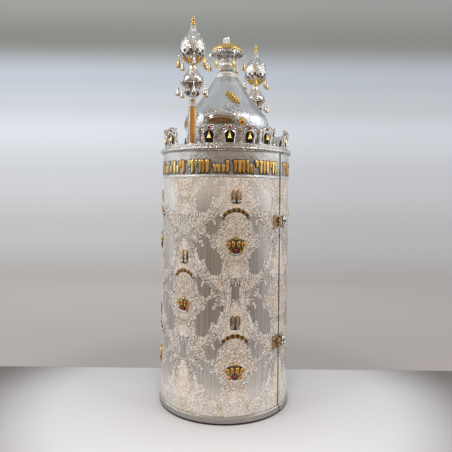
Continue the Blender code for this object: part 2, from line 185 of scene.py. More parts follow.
def pillow(outline, place, thick, round_off=0.45, hollow=0.0):
    """A raised shape with rounded shoulders.

    The outline is in (across, up). `place` turns (across, up, out) into a point in space.
    `hollow` sinks the middle below the shoulder.
    """
    flat = np.array(outline, float)
    middle = flat.mean(axis=0)
    steps = ((1.0, 0.0), (1.0, thick * (1 - round_off)), (0.90, thick * (1 - round_off * 0.3)),
             (0.74, thick), (0.40, thick - hollow))
    rows = [[place(*(middle + (p - middle) * scale), out) for p in flat] for scale, out in steps]
    rows.append([place(*middle, thick - hollow)])
    return loft(rows)


# %% [markdown]
# ## From a shape to a piece
#
# A piece is one mesh object that rides on a body of the frame. Small shapes that are soldered
# or cast together in the real case are joined into one mesh, each with its own finish. Smooth
# shading with sharp edges above an angle keeps round shapes round and corners crisp.

# %% One object from many shapes
class Piece:
    """Shapes that are joined into one object. Each has the piece's own finish or another."""

    def __init__(self, name, finish):
        self.name, self.finishes = name, [finish]
        self.points, self.faces, self.paints = [], [], []

    def add(self, shape, finish=None):
        finish = finish or self.finishes[0]
        if finish not in self.finishes:
            self.finishes.append(finish)
        points, faces = shape
        start = len(self.points)
        self.points.extend(points)
        self.faces.extend(tuple(start + i for i in face) for face in faces)
        self.paints.extend([self.finishes.index(finish)] * len(faces))
        return self

    def make(self, body, slot, stands_for=(), sharp=38):
        mesh = bpy.data.meshes.new(self.name)
        mesh.from_pydata([tuple(p) for p in self.points], [], self.faces)
        mesh.polygons.foreach_set("material_index", self.paints)
        for finish in self.finishes:
            mesh.materials.append(finish)
        tidy = bmesh.new()
        tidy.from_mesh(mesh)
        bmesh.ops.recalc_face_normals(tidy, faces=tidy.faces)
        tidy.to_mesh(mesh)
        tidy.free()
        mesh.shade_smooth()
        mesh.set_sharp_from_angle(angle=math.radians(sharp))
        made = bpy.data.objects.new(self.name, mesh)
        scene.collection.objects.link(made)
        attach(made, body)
        if stands_for:
            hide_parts(*stands_for)
        print(f"{self.name}: {len(mesh.polygons)} faces")
        return made


def round_case(side, angle, lift=0.0, radius=CASE):
    """A place on the drum: (across, up, out) in metres, across measured round the case."""
    sign, facing = HALVES[side]

    def place(across, up, out):
        a = facing + angle + across / radius
        r = radius + lift + out
        return (sign * SEAM / 2 + r * math.cos(a), r * math.sin(a), up)
    return place


def metres(outline):
    """An outline given in millimetres, turned into metres."""
    return [(x * MM, y * MM) for x, y in outline]


def lifted(place, lift):
    """The same place, further out."""
    return lambda across, up, out: place(across, up, lift + out)


def moved(outline, across, up, size=1.0, turn=0.0):
    """An (across, up) outline scaled, turned and moved."""
    c, s = math.cos(turn) * size, math.sin(turn) * size
    return [(across + c * x - s * y, up + s * x + c * y) for x, y in outline]

# %% [markdown]
# ## Shader maths
#
# A finish is a few lines of arithmetic on values that change over the surface. Adding Math
# nodes one by one hides that arithmetic, so a small class wraps a socket and lets Python's
# own signs add the nodes. Colours are mixed with Mix nodes, because a Math node would turn
# them grey. Everything else comes from one method that takes a node, its settings and its
# sockets.

# %% Sockets that can be added and multiplied
class Value:
    """A node's output, which can stand in sums."""

    def __init__(self, finish, socket):
        self.finish, self.socket = finish, socket

    def maths(self, operation, *values):
        sockets = dict(enumerate(values))
        return self.finish.node("ShaderNodeMath", {"operation": operation}, sockets)

    def __add__(self, other):
        return self.maths("ADD", self, other)

    def __sub__(self, other):
        return self.maths("SUBTRACT", self, other)

    def __rsub__(self, other):
        return self.maths("SUBTRACT", other, self)

    def __mul__(self, other):
        return self.maths("MULTIPLY", self, other)

    def __pow__(self, other):
        return self.maths("POWER", self, other)

    __radd__ = __add__
    __rmul__ = __mul__

    def sine(self):
        return self.maths("SINE", self)

    def step(self, start, end, low=0.0, high=1.0):
        """Rise smoothly from `low` to `high` as this value goes from `start` to `end`."""
        return self.finish.node("ShaderNodeMapRange", {"interpolation_type": "SMOOTHSTEP"},
                                {0: self, 1: start, 2: end, 3: low, 4: high})


class Finish:
    """A material: its Principled shader, and the one way to add other nodes."""

    def __init__(self, name, **constants):
        self.material = bpy.data.materials.new(name)
        self.material.use_nodes = True
        self.tree = self.material.node_tree
        self.shader = self.tree.nodes["Principled BSDF"]
        for socket, value in constants.items():
            self.feed(socket, value)

    def feed(self, socket, value):
        """Give one of the shader's sockets a constant or a changing value."""
        target = self.shader.inputs[socket.replace("_", " ")]
        if isinstance(value, Value):
            self.tree.links.new(value.socket, target)
        else:
            target.default_value = (*value, 1) if isinstance(value, tuple) else value

    def node(self, kind, settings, sockets, output=0):
        made = self.tree.nodes.new(kind)
        for name, value in settings.items():
            setattr(made, name, value)
        for key, value in sockets.items():
            if isinstance(value, Value):
                self.tree.links.new(value.socket, made.inputs[key])
            else:
                made.inputs[key].default_value = value
        return Value(self, made.outputs[output])

    def mix(self, share, first, second):
        """A colour that goes from the first to the second as `share` goes from 0 to 1."""
        full = [(*c, 1) if isinstance(c, tuple) else c for c in (first, second)]
        settings = {"data_type": "RGBA", "clamp_factor": True}
        return self.node("ShaderNodeMix", settings, {0: share, 6: full[0], 7: full[1]}, 2)

    def place(self):
        """The point on the object, in metres."""
        return self.node("ShaderNodeTexCoord", {}, {}, "Object")

    def along(self, direction):
        """How far the point lies along a direction."""
        return self.node("ShaderNodeVectorMath", {"operation": "DOT_PRODUCT"},
                         {0: self.place(), 1: tuple(direction)}, "Value")

    def noise(self, scale, detail=2.0, stretch=(1, 1, 1)):
        """Soft random values from 0 to 1. `scale` is in waves to the metre."""
        where = self.node("ShaderNodeMapping", {}, {"Vector": self.place(), "Scale": stretch})
        return self.node("ShaderNodeTexNoise", {},
                         {"Vector": where, "Scale": scale, "Detail": detail})

    def cells(self, scale):
        """Distance to the nearest of many scattered points, for pebbled surfaces."""
        return self.node("ShaderNodeTexVoronoi", {}, {"Vector": self.place(), "Scale": scale})

    def recess(self, reach):
        """0 deep in a corner and 1 in the open, looking `reach` metres round."""
        settings = {"only_local": True, "samples": 8}
        return self.node("ShaderNodeAmbientOcclusion", settings, {"Distance": reach}, "AO")

    def measured(self, name):
        """A number stored on the mesh's points."""
        return self.node("ShaderNodeAttribute", {"attribute_name": name}, {}, "Fac")

    def bump(self, height, depth):
        """Let a height from 0 to 1 stand out by `depth` metres."""
        bump = self.node("ShaderNodeBump", {}, {"Height": height, "Distance": depth})
        self.feed("Normal", bump)


# %% [markdown]
# ## Silver, gilt and dark recesses
#
# Polished silver is a mirror with a warm white tint. What makes old ritual silver read as
# silver is its patina: the raised parts are rubbed bright, and the recesses keep a brown
# film. Painting that by hand isn't needed. An ambient occlusion node finds the recesses, and
# its value mixes the film's colour in. Fine uneven roughness and a very low bump break up
# the reflections as hand polishing does. The same recipe with other numbers gives satin and
# frosted silver, gilding in several depths, and the dark brass of the clasps. Frosted silver
# scatters part of its light, so its metallic value is lower.

# %% Metals
SCRATCHES = 320        # to the metre


def metal(name, bright, film, shine, uneven=0.06, reach=2.5 * MM, dents=0.04 * MM, chasing=0,
          metallic=1.0):
    """A worked metal: bright where it is open, filmed over in its recesses.

    `chasing` covers it with struck marks, that many to the metre.
    """
    finish = Finish(name, Metallic=metallic)
    open_parts = finish.recess(reach).step(0.30, 0.92)
    clouds = finish.noise(38, 3.0)
    scratches = finish.noise(SCRATCHES, 2.0, (1, 1, 0.35))
    worn = finish.mix(clouds.step(0.35, 0.70), bright, tuple(0.90 * c for c in bright))
    finish.feed("Base_Color", finish.mix(open_parts, film, worn))
    rough = shine + uneven * scratches + uneven * clouds + 0.22 * (1 - open_parts)
    finish.feed("Roughness", rough)
    relief = scratches + 2 * clouds
    if chasing:
        patches = finish.noise(chasing / 5, 1.0).step(0.32, 0.50)
        relief = relief + 4 * patches * finish.cells(chasing).step(0.08, 0.62)
    finish.bump(relief, dents)
    return finish.material


polished = metal("polished_silver", (0.91, 0.90, 0.88), (0.16, 0.13, 0.105), 0.06)
satin = metal("satin_silver", (0.83, 0.83, 0.82), (0.20, 0.18, 0.16), 0.22, 0.08, 2 * MM, 0.06 * MM)
worked = metal("chased_silver", (0.90, 0.89, 0.87), (0.10, 0.08, 0.06), 0.14, 0.08, 3.5 * MM, 0.16 * MM,
               chasing=300)
raised_work = metal("dome_silver", (0.89, 0.895, 0.90), (0.18, 0.15, 0.12), 0.20, 0.06, 3 * MM, 0.10 * MM,
                    chasing=170)
frosted = metal("frosted_silver", (0.97, 0.965, 0.95), (0.16, 0.14, 0.12), 0.20, 0.08, 3 * MM, 0.16 * MM,
                chasing=240, metallic=0.6)
buffed = metal("buffed_silver", (0.72, 0.70, 0.675), (0.20, 0.17, 0.14), 0.28, 0.10, 2 * MM, 0.10 * MM,
               chasing=420)
aged = metal("aged_silver", (0.70, 0.67, 0.63), (0.14, 0.115, 0.09), 0.18, 0.10, 2 * MM, 0.12 * MM,
             chasing=260)
gilt = metal("gilt_silver", (0.98, 0.66, 0.22), (0.10, 0.045, 0.012), 0.13, 0.06, 2.5 * MM)
brown_brass = metal("brown_brass", (0.46, 0.36, 0.27), (0.06, 0.045, 0.035), 0.24, 0.08, 2 * MM)
old_silver = metal("old_silver", (0.50, 0.46, 0.42), (0.08, 0.065, 0.055), 0.22, 0.10, 2 * MM, 0.06 * MM)
amber = metal("amber_gilt", (0.80, 0.40, 0.11), (0.07, 0.03, 0.010), 0.18, 0.08, 2.0 * MM)
olive = metal("olive_gilt", (0.72, 0.60, 0.24), (0.06, 0.05, 0.015), 0.16, 0.08, 2.0 * MM)
dark_gilt = metal("dark_gilt_finish", (0.24, 0.20, 0.13), (0.03, 0.02, 0.012), 0.16, 0.08, 2 * MM)
silvers = (polished, satin, worked, raised_work, frosted, buffed, aged, old_silver)
print("silver:", [m.name for m in silvers])
print("gilt and brass:", [m.name for m in (gilt, amber, olive, dark_gilt, brown_brass)])

# %% [markdown]
# ## Dark backing and painted shade, red stones, wood and felt
#
# The gilt emblems are soldered to thin dark backing plates, a little larger than the gilt,
# so that a dark line surrounds each lobe. The same dark finish paints shade where there is
# no plate: in the seam, behind the gallery's arches and in the slots of the screws. The
# stones are red glass cabochons: a dark red body under a clear coat. Inside, the drum is
# stained wood, whose grain comes from noise that is stretched along the height. The foot is
# black felt, with a weak sheen.

# %% The other finishes
def make_dark_silver():
    # Dark silver for backing plates and dark ornaments, also used as painted shade in the seam, behind the
    # gallery's arches and in screw slots.
    finish = Finish("dark_silver_and_painted_shade", Metallic=0.75)
    clouds = finish.noise(160, 3.0)
    finish.feed("Base_Color", finish.mix(clouds, (0.016, 0.014, 0.012), (0.055, 0.046, 0.038)))
    finish.feed("Roughness", 0.30 + 0.25 * clouds)
    return finish.material


def stone():
    finish = Finish("red_glass", Coat_Weight=1.0)
    depth = finish.noise(420, 2.0)
    finish.feed("Base_Color", finish.mix(depth.step(0.3, 0.7), (0.42, 0.006, 0.010), (0.17, 0.0, 0.006)))
    finish.feed("Roughness", 0.10 + 0.1 * depth)
    return finish.material


def wood():
    finish = Finish("stained_walnut")
    figure = finish.noise(34, 4.0, (1, 1, 0.08))
    pores = finish.noise(420, 2.0, (1, 1, 0.05))
    rings = (figure * 60).sine().step(-1, 1)
    plain = finish.mix(rings, (0.115, 0.052, 0.024), (0.215, 0.110, 0.052))
    finish.feed("Base_Color", finish.mix(pores.step(0.52, 0.68), plain, (0.050, 0.022, 0.012)))
    finish.feed("Roughness", 0.42 + 0.25 * pores)
    finish.bump(pores, 0.15 * MM)
    return finish.material


def felt():
    finish = Finish("black_felt", Sheen_Weight=0.3)
    fibres = finish.noise(1800, 3.0)
    finish.feed("Base_Color", finish.mix(fibres, (0.008, 0.008, 0.009), (0.030, 0.028, 0.028)))
    finish.feed("Roughness", 0.85 + 0.1 * fibres)
    finish.bump(fibres, 0.3 * MM)
    return finish.material


dark_silver_and_shade, ruby, walnut, black_felt = make_dark_silver(), stone(), wood(), felt()
print("others:", dark_silver_and_shade.name, ruby.name, walnut.name, black_felt.name)

# %% [markdown]
# ## The damask: where the pattern comes from
#
# The silver sheet is embossed with a damask repeat: bouquets in ogee frames, in columns half
# a repeat apart. The raised motif is pebbled and looks matt. The ground between is smooth
# silver with fine rulings, and it softly mirrors the room.
#
# A damask can be drawn as curves, cut as meshes, or held as a distance field: a grid that
# says, for every place in one repeat, how far it is from the motif's edge. Millions of small
# Booleans would be slow and fragile, while a field is a few lines of NumPy. Shapes are
# combined by taking the smaller distance, the whole pattern follows from one half bouquet by
# mirroring and shifting, and both the mesh and the shader can read it.
#
# Lengths in this part are millimetres on the unrolled sheet: `u` across from the column's
# middle, and `v` up from the middle of its bouquet.

# %% One repeat of the damask
REPEAT_WIDE, REPEAT_TALL = 220.0, 247.0
FIELD_STEP = 0.5
field_u = np.arange(0, REPEAT_WIDE / 2 + FIELD_STEP / 2, FIELD_STEP)
field_v = np.arange(-REPEAT_TALL / 2, REPEAT_TALL / 2 + FIELD_STEP / 2, FIELD_STEP)
U, V = np.meshgrid(field_u, field_v)

# The four bouquets that reach into this half repeat: each as (u, v) seen from its middle.
VIEWS = [(np.abs(U - across), V - up) for across, up in
         ((0, 0), (0, REPEAT_TALL), (110, -REPEAT_TALL / 2), (110, REPEAT_TALL / 2))]


def blob(u, v, x, y, radius, frills=0, depth=0.0):
    """Distance to a disc, with a frilled edge if asked."""
    edge = radius
    if frills:
        edge = radius + depth * np.cos(frills * np.arctan2(v - y, u - x))
    return np.hypot(u - x, v - y) - edge


def stroke(u, v, path, widths):
    """Distance to a stroke along a path, whose half width changes evenly from point to point."""
    best = np.full(u.shape, 1e3)
    for (ax, ay), (bx, by), wa, wb in zip(path, path[1:], widths, widths[1:]):
        dx, dy = bx - ax, by - ay
        t = np.clip(((u - ax) * dx + (v - ay) * dy) / (dx * dx + dy * dy), 0, 1)
        best = np.minimum(best, np.hypot(u - ax - t * dx, v - ay - t * dy) - wa - t * (wb - wa))
    return best


def leaf(u, v, foot, tip, width, bend=0.0):
    """Distance to a leaf: pointed at the tip, widest below its middle, bent sideways."""
    foot, tip = np.array(foot, float), np.array(tip, float)
    side = np.array([foot[1] - tip[1], tip[0] - foot[0]])
    t = np.linspace(0, 1, 7)
    path = [foot + (tip - foot) * s + side * bend * math.sin(math.pi * s) for s in t]
    return stroke(u, v, path, [width * (0.25 + 1.6 * s) * (1 - s) ** 0.8 * 0.9 for s in t])


def inside(u, v, corners):
    """Distance to a closed outline: below zero inside it."""
    line = smooth(corners, 4, closed=True)
    edge = stroke(u, v, line + line[:1], [0.0] * (len(line) + 1))
    within = np.zeros(u.shape, bool)
    for (ax, ay), (bx, by) in zip(line, line[1:] + line[:1]):
        if ay != by:
            crosses = ((ay > v) != (by > v)) & (u < (bx - ax) * (v - ay) / (by - ay) + ax)
            within ^= crosses
    return np.where(within, -edge, edge)


# %% [markdown]
# The windows of ruled ground come first: an arch round each bouquet, a small shield under
# it, and a few eyes between the scrolls. Their edges get a ripple, so that they look bitten
# by leaves. Then the motif's own shapes are laid on one after another, as a painter would.
# Each new shape hides what lies under it and keeps a crease along its edge.

# %% Windows of ruled ground
ARCH = [(26, 58), (38, 57), (49, 51), (59, 41), (68, 30), (75, 17), (80, 3), (80, -10), (75, -26),
        (67, -38), (59, -48), (50, -56), (40, -59), (31, -55), (27, -44), (26, -34), (28, -24),
        (30, -14), (38, -9), (47, -5), (51, 3), (51, 11), (47, 18), (39, 23), (34, 30), (33, 38),
        (29, 46), (23, 53)]
SHIELD = [(0, -64), (9, -67), (12.5, -78), (12, -93), (8, -103), (0, -107),
          (-8, -103), (-12, -93), (-12.5, -78), (-9, -67)]
EYES = ([(20, -122), (28, -121), (29, -131), (22, -133)],
        [(64, -64), (72, -58), (78, -50), (76, -66), (70, -76)])

motif = np.full(U.shape, -16.0)
for u, v in VIEWS:
    ripple = 2.2 * np.sin(0.78 * u + 0.4) * np.sin(0.70 * v) + 0.8 * np.sin(1.5 * v + u)
    arch = inside(u, v, ARCH) + ripple
    small = [inside(u, v, SHIELD) + 0.5 * ripple] + [inside(u, v, eye) + 0.5 * ripple for eye in EYES]
    for window in [arch] + small:
        motif = np.maximum(motif, -window)
crease = np.abs(motif)
print("ground covers", round(100 * float((motif > 0).mean())), "% of the repeat")


# %% The motif's leaves, flowers and scrolls
def lay(shape):
    """Lay one shape on the motif, and keep a crease round it."""
    global motif, crease
    crease = np.where(shape < 0, -shape, np.minimum(crease, np.maximum(shape, 0) + 9 * (motif > 0)))
    motif = np.minimum(motif, shape)


def rose(u, v, x, y, size, petals=6):
    """A full flower: outer petals, inner petals and a button."""
    for ring, (reach, petal, turn) in enumerate(((0.62, 0.43, 0.0), (0.30, 0.32, 0.5))):
        for i in range(petals - ring):
            a = 2 * math.pi * (i + turn) / (petals - ring) + 0.35
            cx, cy = x + size * reach * math.cos(a), y + size * reach * math.sin(a)
            lay(blob(u, v, cx, cy, size * petal, 7, 0.35))
    lay(blob(u, v, x, y, size * 0.17))


def spray(u, v, foot, tip, leaves, length, width, bend=0.0):
    """A stem with leaves on both sides, and one at its end."""
    foot, tip = np.array(foot, float), np.array(tip, float)
    along = (tip - foot) / np.hypot(*(tip - foot))
    side = np.array([-along[1], along[0]])
    for i in range(leaves):
        s = (i + 0.3) / leaves
        root = foot + (tip - foot) * s + side * bend * math.sin(math.pi * s) * 10
        grow = length * (1 - 0.45 * s)
        for hand in (1, -1):
            lay(leaf(u, v, root, root + (0.75 * along + 0.72 * hand * side) * grow, width, -0.12 * hand))
    lay(leaf(u, v, foot + (tip - foot) * 0.6, tip + along * length * 0.4, width))


def curl(u, v, x, y, radius, start, turns, width):
    """A scroll that winds in to its middle."""
    t = np.linspace(0, 1, 22)
    turn = start + turns * 2 * math.pi * t
    reach = radius * (1 - t) ** 0.8
    path = list(zip(x + reach * np.cos(turn), y + reach * np.sin(turn)))
    lay(stroke(u, v, path, list(width * (1.1 - 0.6 * t))))


FRAME_BAND = [(96, 38), (95, 14), (92, -8), (88, -30), (78, -52), (64, -68), (50, -80)]
for u, v in VIEWS:
    for offset, width in ((4.5, 2.2), (-0.5, 2.6), (-5.0, 1.6)):
        lay(stroke(u, v, [(x + offset * 0.9, y + offset * 0.45) for x, y in smooth(FRAME_BAND, 3)],
                   [width] * (3 * len(FRAME_BAND))))
    for foot, tip in (((90, 20), (76, 34)), ((91, 6), (79, 14)), ((89, -12), (79, -6)),
                      ((66, -62), (72, -50)), ((84, -38), (94, -52)), ((74, -54), (84, -68)),
                      ((60, -70), (68, -86)), ((92, 30), (102, 22)), ((90, -18), (101, -30))):
        lay(leaf(u, v, foot, tip, 4.2, 0.15))
    spray(u, v, (48, -80), (66, -30), 6, 14, 3.6, -0.3)
    spray(u, v, (84, 16), (66, 42), 4, 9, 2.4, 0.1)
    spray(u, v, (30, -104), (44, -126), 3, 10, 2.8)
    spray(u, v, (18, -108), (20, -150), 5, 10, 3.0)
    spray(u, v, (40, -96), (58, -108), 3, 10, 3.0)

    for x, y, size in ((27, -76, 17), (40, -92, 10), (22, -96, 8), (13, -116, 8)):
        rose(u, v, x, y, size, 7)
    curl(u, v, 27, -76, 15, 2.2, 1.4, 2.2)
    for x, y in ((17, -60), (10, -57), (36, -62), (30, -60), (45, -70)):
        lay(leaf(u, v, (x * 0.9 + 3, y - 8), (x, y + 5), 4.0))
    for i in range(6):
        a = math.radians(-90 + 15 * i)
        lay(blob(u, v, 15 * math.cos(a), -96 + 14.5 * math.sin(a), 2.1))
    for foot, tip in (((0, -70), (0, -84)), ((2, -68), (8, -78)), ((2, -66), (11, -70))):
        lay(leaf(u, v, foot, tip, 2.4))

    for x, y, size in ((44, 8, 8), (42, 15, 7), (43, 0, 7), (32, -8, 7), (23, -15, 7), (20, -25, 7),
                       (19, -35, 8), (21, -46, 8), (31, 22, 7), (26, 31, 8), (25, 41, 7),
                       (18, 48, 7), (8, 52, 8)):
        lay(blob(u, v, x, y, size, 8, 1.3))
        for turn in (0.4, 2.2, 4.1):
            lay(blob(u, v, x + size * 0.45 * math.cos(turn), y + size * 0.45 * math.sin(turn),
                     size * 0.36, 6, 0.3))
    for x, y, size in ((28, 6, 13), (17, 26, 10), (21, -18, 11), (9, -34, 9), (0, 40, 9)):
        rose(u, v, x, y, size)
    rose(u, v, 0, 6, 19, 8)
    for foot, tip in (((6, -14), (3, -32)), ((10, -8), (20, -4)), ((7, 20), (12, 32)), ((0, 22), (0, 33))):
        lay(leaf(u, v, foot, tip, 4.0, 0.2))
print("motif covers", round(100 * float((motif < 0).mean())), "% of the repeat")

# %% [markdown]
# ## The embossed sheet
#
# The sheet is a fine grid bent round half of the drum. Every grid point reads the field, and
# moves out a third of a millimetre where it lies in the motif, so the edges of the leaves
# catch light. The same two numbers go to the shader as measurements stored on the points:
# how deep a point lies in the motif, and how far it is from a crease.

# %% Reading the field and bending the sheet
def read(field, across, up):
    """The field's value at places on the drum, in millimetres round the case and up."""
    middle = (low("left_crown_upper_front").z + high("left_crown_upper_front").z) / 2 / MM
    u = np.abs(np.mod(across, REPEAT_WIDE) - REPEAT_WIDE / 2) / FIELD_STEP
    v = np.mod(up - middle + REPEAT_TALL / 2, REPEAT_TALL) / FIELD_STEP
    i = np.minimum(u.astype(int), field.shape[1] - 2)
    j = np.minimum(v.astype(int), field.shape[0] - 2)
    s, t = u - i, v - j
    low_row = field[j, i] * (1 - s) + field[j, i + 1] * s
    return low_row * (1 - t) + (field[j + 1, i] * (1 - s) + field[j + 1, i + 1] * s) * t


def damask_sheet(side, finish, columns=294, rows=314):
    sign, facing = HALVES[side]
    turns = np.linspace(-math.pi / 2, math.pi / 2, columns)
    heights = np.linspace(SHEET_LOW, SHEET_TOP, rows)
    turn, height = np.meshgrid(turns, heights)
    depth = -read(motif, turn * CASE / MM, height / MM)
    edge = read(crease, turn * CASE / MM, height / MM)
    raised = np.clip(depth + 0.4, 0, 1)
    lift = raised * (0.12 + 0.18 * np.clip(edge / 1.4, 0, 1)) * MM
    radius = CASE - 0.3 * MM + lift
    # One more row and column all round turns the sheet's edge in, down to the drum.
    grids = (turn, height, radius, depth, edge)
    turn, height, radius, depth, edge = (np.pad(grid, 1, mode="edge") for grid in grids)
    radius[0, :] = radius[-1, :] = radius[:, 0] = radius[:, -1] = SHEET
    points = np.stack([sign * SEAM / 2 + radius * np.cos(facing + turn),
                       radius * np.sin(facing + turn), height], axis=-1).reshape(-1, 3)
    wide = columns + 2
    first = (np.arange(rows + 1)[:, None] * wide + np.arange(wide - 1)).reshape(-1)
    faces = np.stack([first, first + 1, first + wide + 1, first + wide], axis=-1)
    piece = Piece(side + "_embossed_sheet", finish).add((points.tolist(), faces.tolist()))
    made = piece.make(side + "_half", "embossed_silver", [side + "_damask_sheet"], 60)
    for name, numbers in (("motif_depth", depth), ("crease_depth", edge)):
        stored = made.data.attributes.new(name, "FLOAT", "POINT")
        stored.data.foreach_set("value", numbers.reshape(-1).astype(np.float32))
    return made


# %% [markdown]
# The embossed finish has two surfaces in one. On the motif the silver was struck with a
# pebbled punch: it scatters light like frosted metal, so it takes a lower metallic value, a
# higher roughness, and pebbles from a Voronoi texture. Its colour is painted whiter near its
# edges, a painted highlight on the raised rims, and darker along its creases and in its pits.
# The ground keeps more of its metal, with fine upright rulings that come from noise stretched
# along the height, and a painted shadow as a dark line where it meets the motif. Near the foot
# ring and the band the sheet is painted paler: painted light, which at the foot stands for the
# bright floor's reflection. The stored depths give a crisp edge between the two surfaces.

# %% Embossed silver
def embossed_silver():
    finish = Finish("embossed_silver")
    depth = finish.measured("motif_depth")
    crease_line = finish.measured("crease_depth").step(0.1, 1.0)
    on_motif = depth.step(-0.25, 0.35)
    outline = depth.step(-1.2, -0.3) * depth.step(-0.1, 0.3, 1, 0)
    heart = 0.85 * depth.step(7.5, 14.0)
    pebbles = finish.cells(430).step(0.1, 0.7)
    holes = finish.cells(240).step(0.10, 0.28)
    specks = finish.noise(330, 2.0).step(0.40, 0.60)
    clouds = finish.noise(14, 3.0)
    rulings = finish.noise(900, 1.0, (1, 1, 0.006)).step(0.32, 0.68)
    height = finish.along((0, 0, 1))
    # Painted light: the sheet is painted paler near the band and near the foot ring, where it stands for
    # the bright floor's reflection.
    painted_light_near_rings = height.step(0.41, 0.47) + 0.8 * height.step(0.04, 0.09, 1, 0)
    # Painted highlight: the motif is painted whiter near its edges, on the raised rims of its leaves; its
    # deep heart is cream.
    highlit_frost = finish.mix(specks, (0.74, 0.68, 0.62), (1.0, 0.98, 0.95))
    highlit_frost = finish.mix(holes + 0.5 * painted_light_near_rings, (0.30, 0.26, 0.22), highlit_frost)
    highlit_frost = finish.mix(crease_line + 0.5 * painted_light_near_rings, (0.26, 0.22, 0.19), highlit_frost)
    cream = finish.mix(specks, (0.73, 0.635, 0.54), (0.95, 0.885, 0.80))
    cream = finish.mix(finish.cells(150).step(0.12, 0.30), (0.58, 0.49, 0.40), cream)
    cream = finish.mix(crease_line, (0.40, 0.32, 0.255), cream)
    frost = finish.mix(heart, highlit_frost, cream)
    ground = finish.mix(rulings, (0.54, 0.50, 0.455), (0.74, 0.705, 0.66))
    # Painted shadow: a dark line on the ground just outside the raised motif.
    ground = finish.mix(0.45 * outline * (1 - 0.5 * painted_light_near_rings), ground, (0.12, 0.10, 0.085))
    ground = finish.mix(0.6 * painted_light_near_rings, ground, highlit_frost)
    finish.feed("Base_Color", finish.mix(on_motif, ground, frost))
    finish.feed("Metallic", 0.94 - on_motif * (0.38 + 0.12 * heart) - (1 - on_motif) * 0.36 * painted_light_near_rings)
    finish.feed("Roughness", 0.35 + 0.10 * rulings + on_motif * (0.20 + 0.12 * clouds))
    relief = on_motif * (1.2 + 0.5 * crease_line - 0.7 * pebbles) + 0.15 * rulings
    finish.bump(relief, 0.25 * MM)
    return finish.material


embossed = embossed_silver()
for side in HALVES:
    damask_sheet(side, embossed)

# %% [markdown]
# Where the two halves meet, each sheet is turned over the edge of its drum, and the narrow
# gap between the halves lies in shade. A thin dark strip along each edge paints that shade
# as a plain dark line, over the foot ring, sheet, band and top ring.

# %% Painted shadow along the seam
def seam_shadow_strips(side):
    sign, facing = HALVES[side]
    up_the_case = [(143.3, 4.6), (143.3, 13.2), (141.5, 16.1), (140.35, 16.6), (140.35, BAND_LOW / MM),
                   (140.7, BAND_LOW / MM + 0.5), (140.3, BAND_LOW / MM + 2), (140.1, 541.4), (141.2, 542.2),
                   (144.6, 543.2), (145.8, 547.2), (144.8, 550.8), (141.5, 552.0)]
    # Painted shadow: these dark strips stand for the shaded gap of the seam.
    piece = Piece(side + "_seam_shadow_strips", dark_silver_and_shade)
    for toward in (-1, 1):
        ends = (toward * math.pi / 2, toward * (math.pi / 2 - 1.25 * MM / CASE))
        rows = [[(sign * SEAM / 2 + r * math.cos(facing + a), r * math.sin(facing + a), z) for a in ends]
                for r, z in metres(up_the_case)]
        piece.add(loft(rows, wrap=False))
    piece.make(side + "_half", "embossed_silver", (), 80)


for side in HALVES:
    seam_shadow_strips(side)

# %% [markdown]
# ## Letter band
#
# Above the damask runs a smooth buffed band with words in raised gilt letters. Lettering
# isn't part of this model, so the words become groups of plain tapering strokes that keep
# the rhythm, height and colour of the real line. Each stroke is a rounded gilt bar on a dark
# one that is a little larger, which gives the dark outline, and short dark gilt bars stand
# between the strokes.

# %% Band and strokes
def letter_band(side):
    beading = [(CASE - 0.05 * MM, BAND_LOW + 0.2 * MM), (CASE + 0.02 * MM, BAND_LOW + 0.5 * MM),
               (CASE + 0.02 * MM, BAND_LOW + 1.3 * MM), (CASE - 0.1 * MM, BAND_LOW + 1.7 * MM)]
    groove = [(CASE - 0.1 * MM, BAND_LOW + 4.6 * MM), (CASE - 0.45 * MM, BAND_LOW + 5.0 * MM),
              (CASE - 0.1 * MM, BAND_LOW + 5.4 * MM)]
    outline = [(SHEET, BAND_LOW)] + beading + groove + [(CASE - 0.1 * MM, BAND_TOP), (SHEET, BAND_TOP)]
    Piece(side + "_plain_band", buffed).add(half_turned(outline, side, 120)).make(
        side + "_half", "polished_silver", [side + "_letter_band"], 50)


# Word groups round one half, as (start, end) in millimetres from the middle of the half.
WORDS = [(150, 206), (104, 145), (64, 98), (8, 59), (-34, 1), (-81, -42), (-124, -90), (-168, -131),
         (-207, -175)]
STROKE_LOW, STROKE_HIGH = 498.6, 524.0


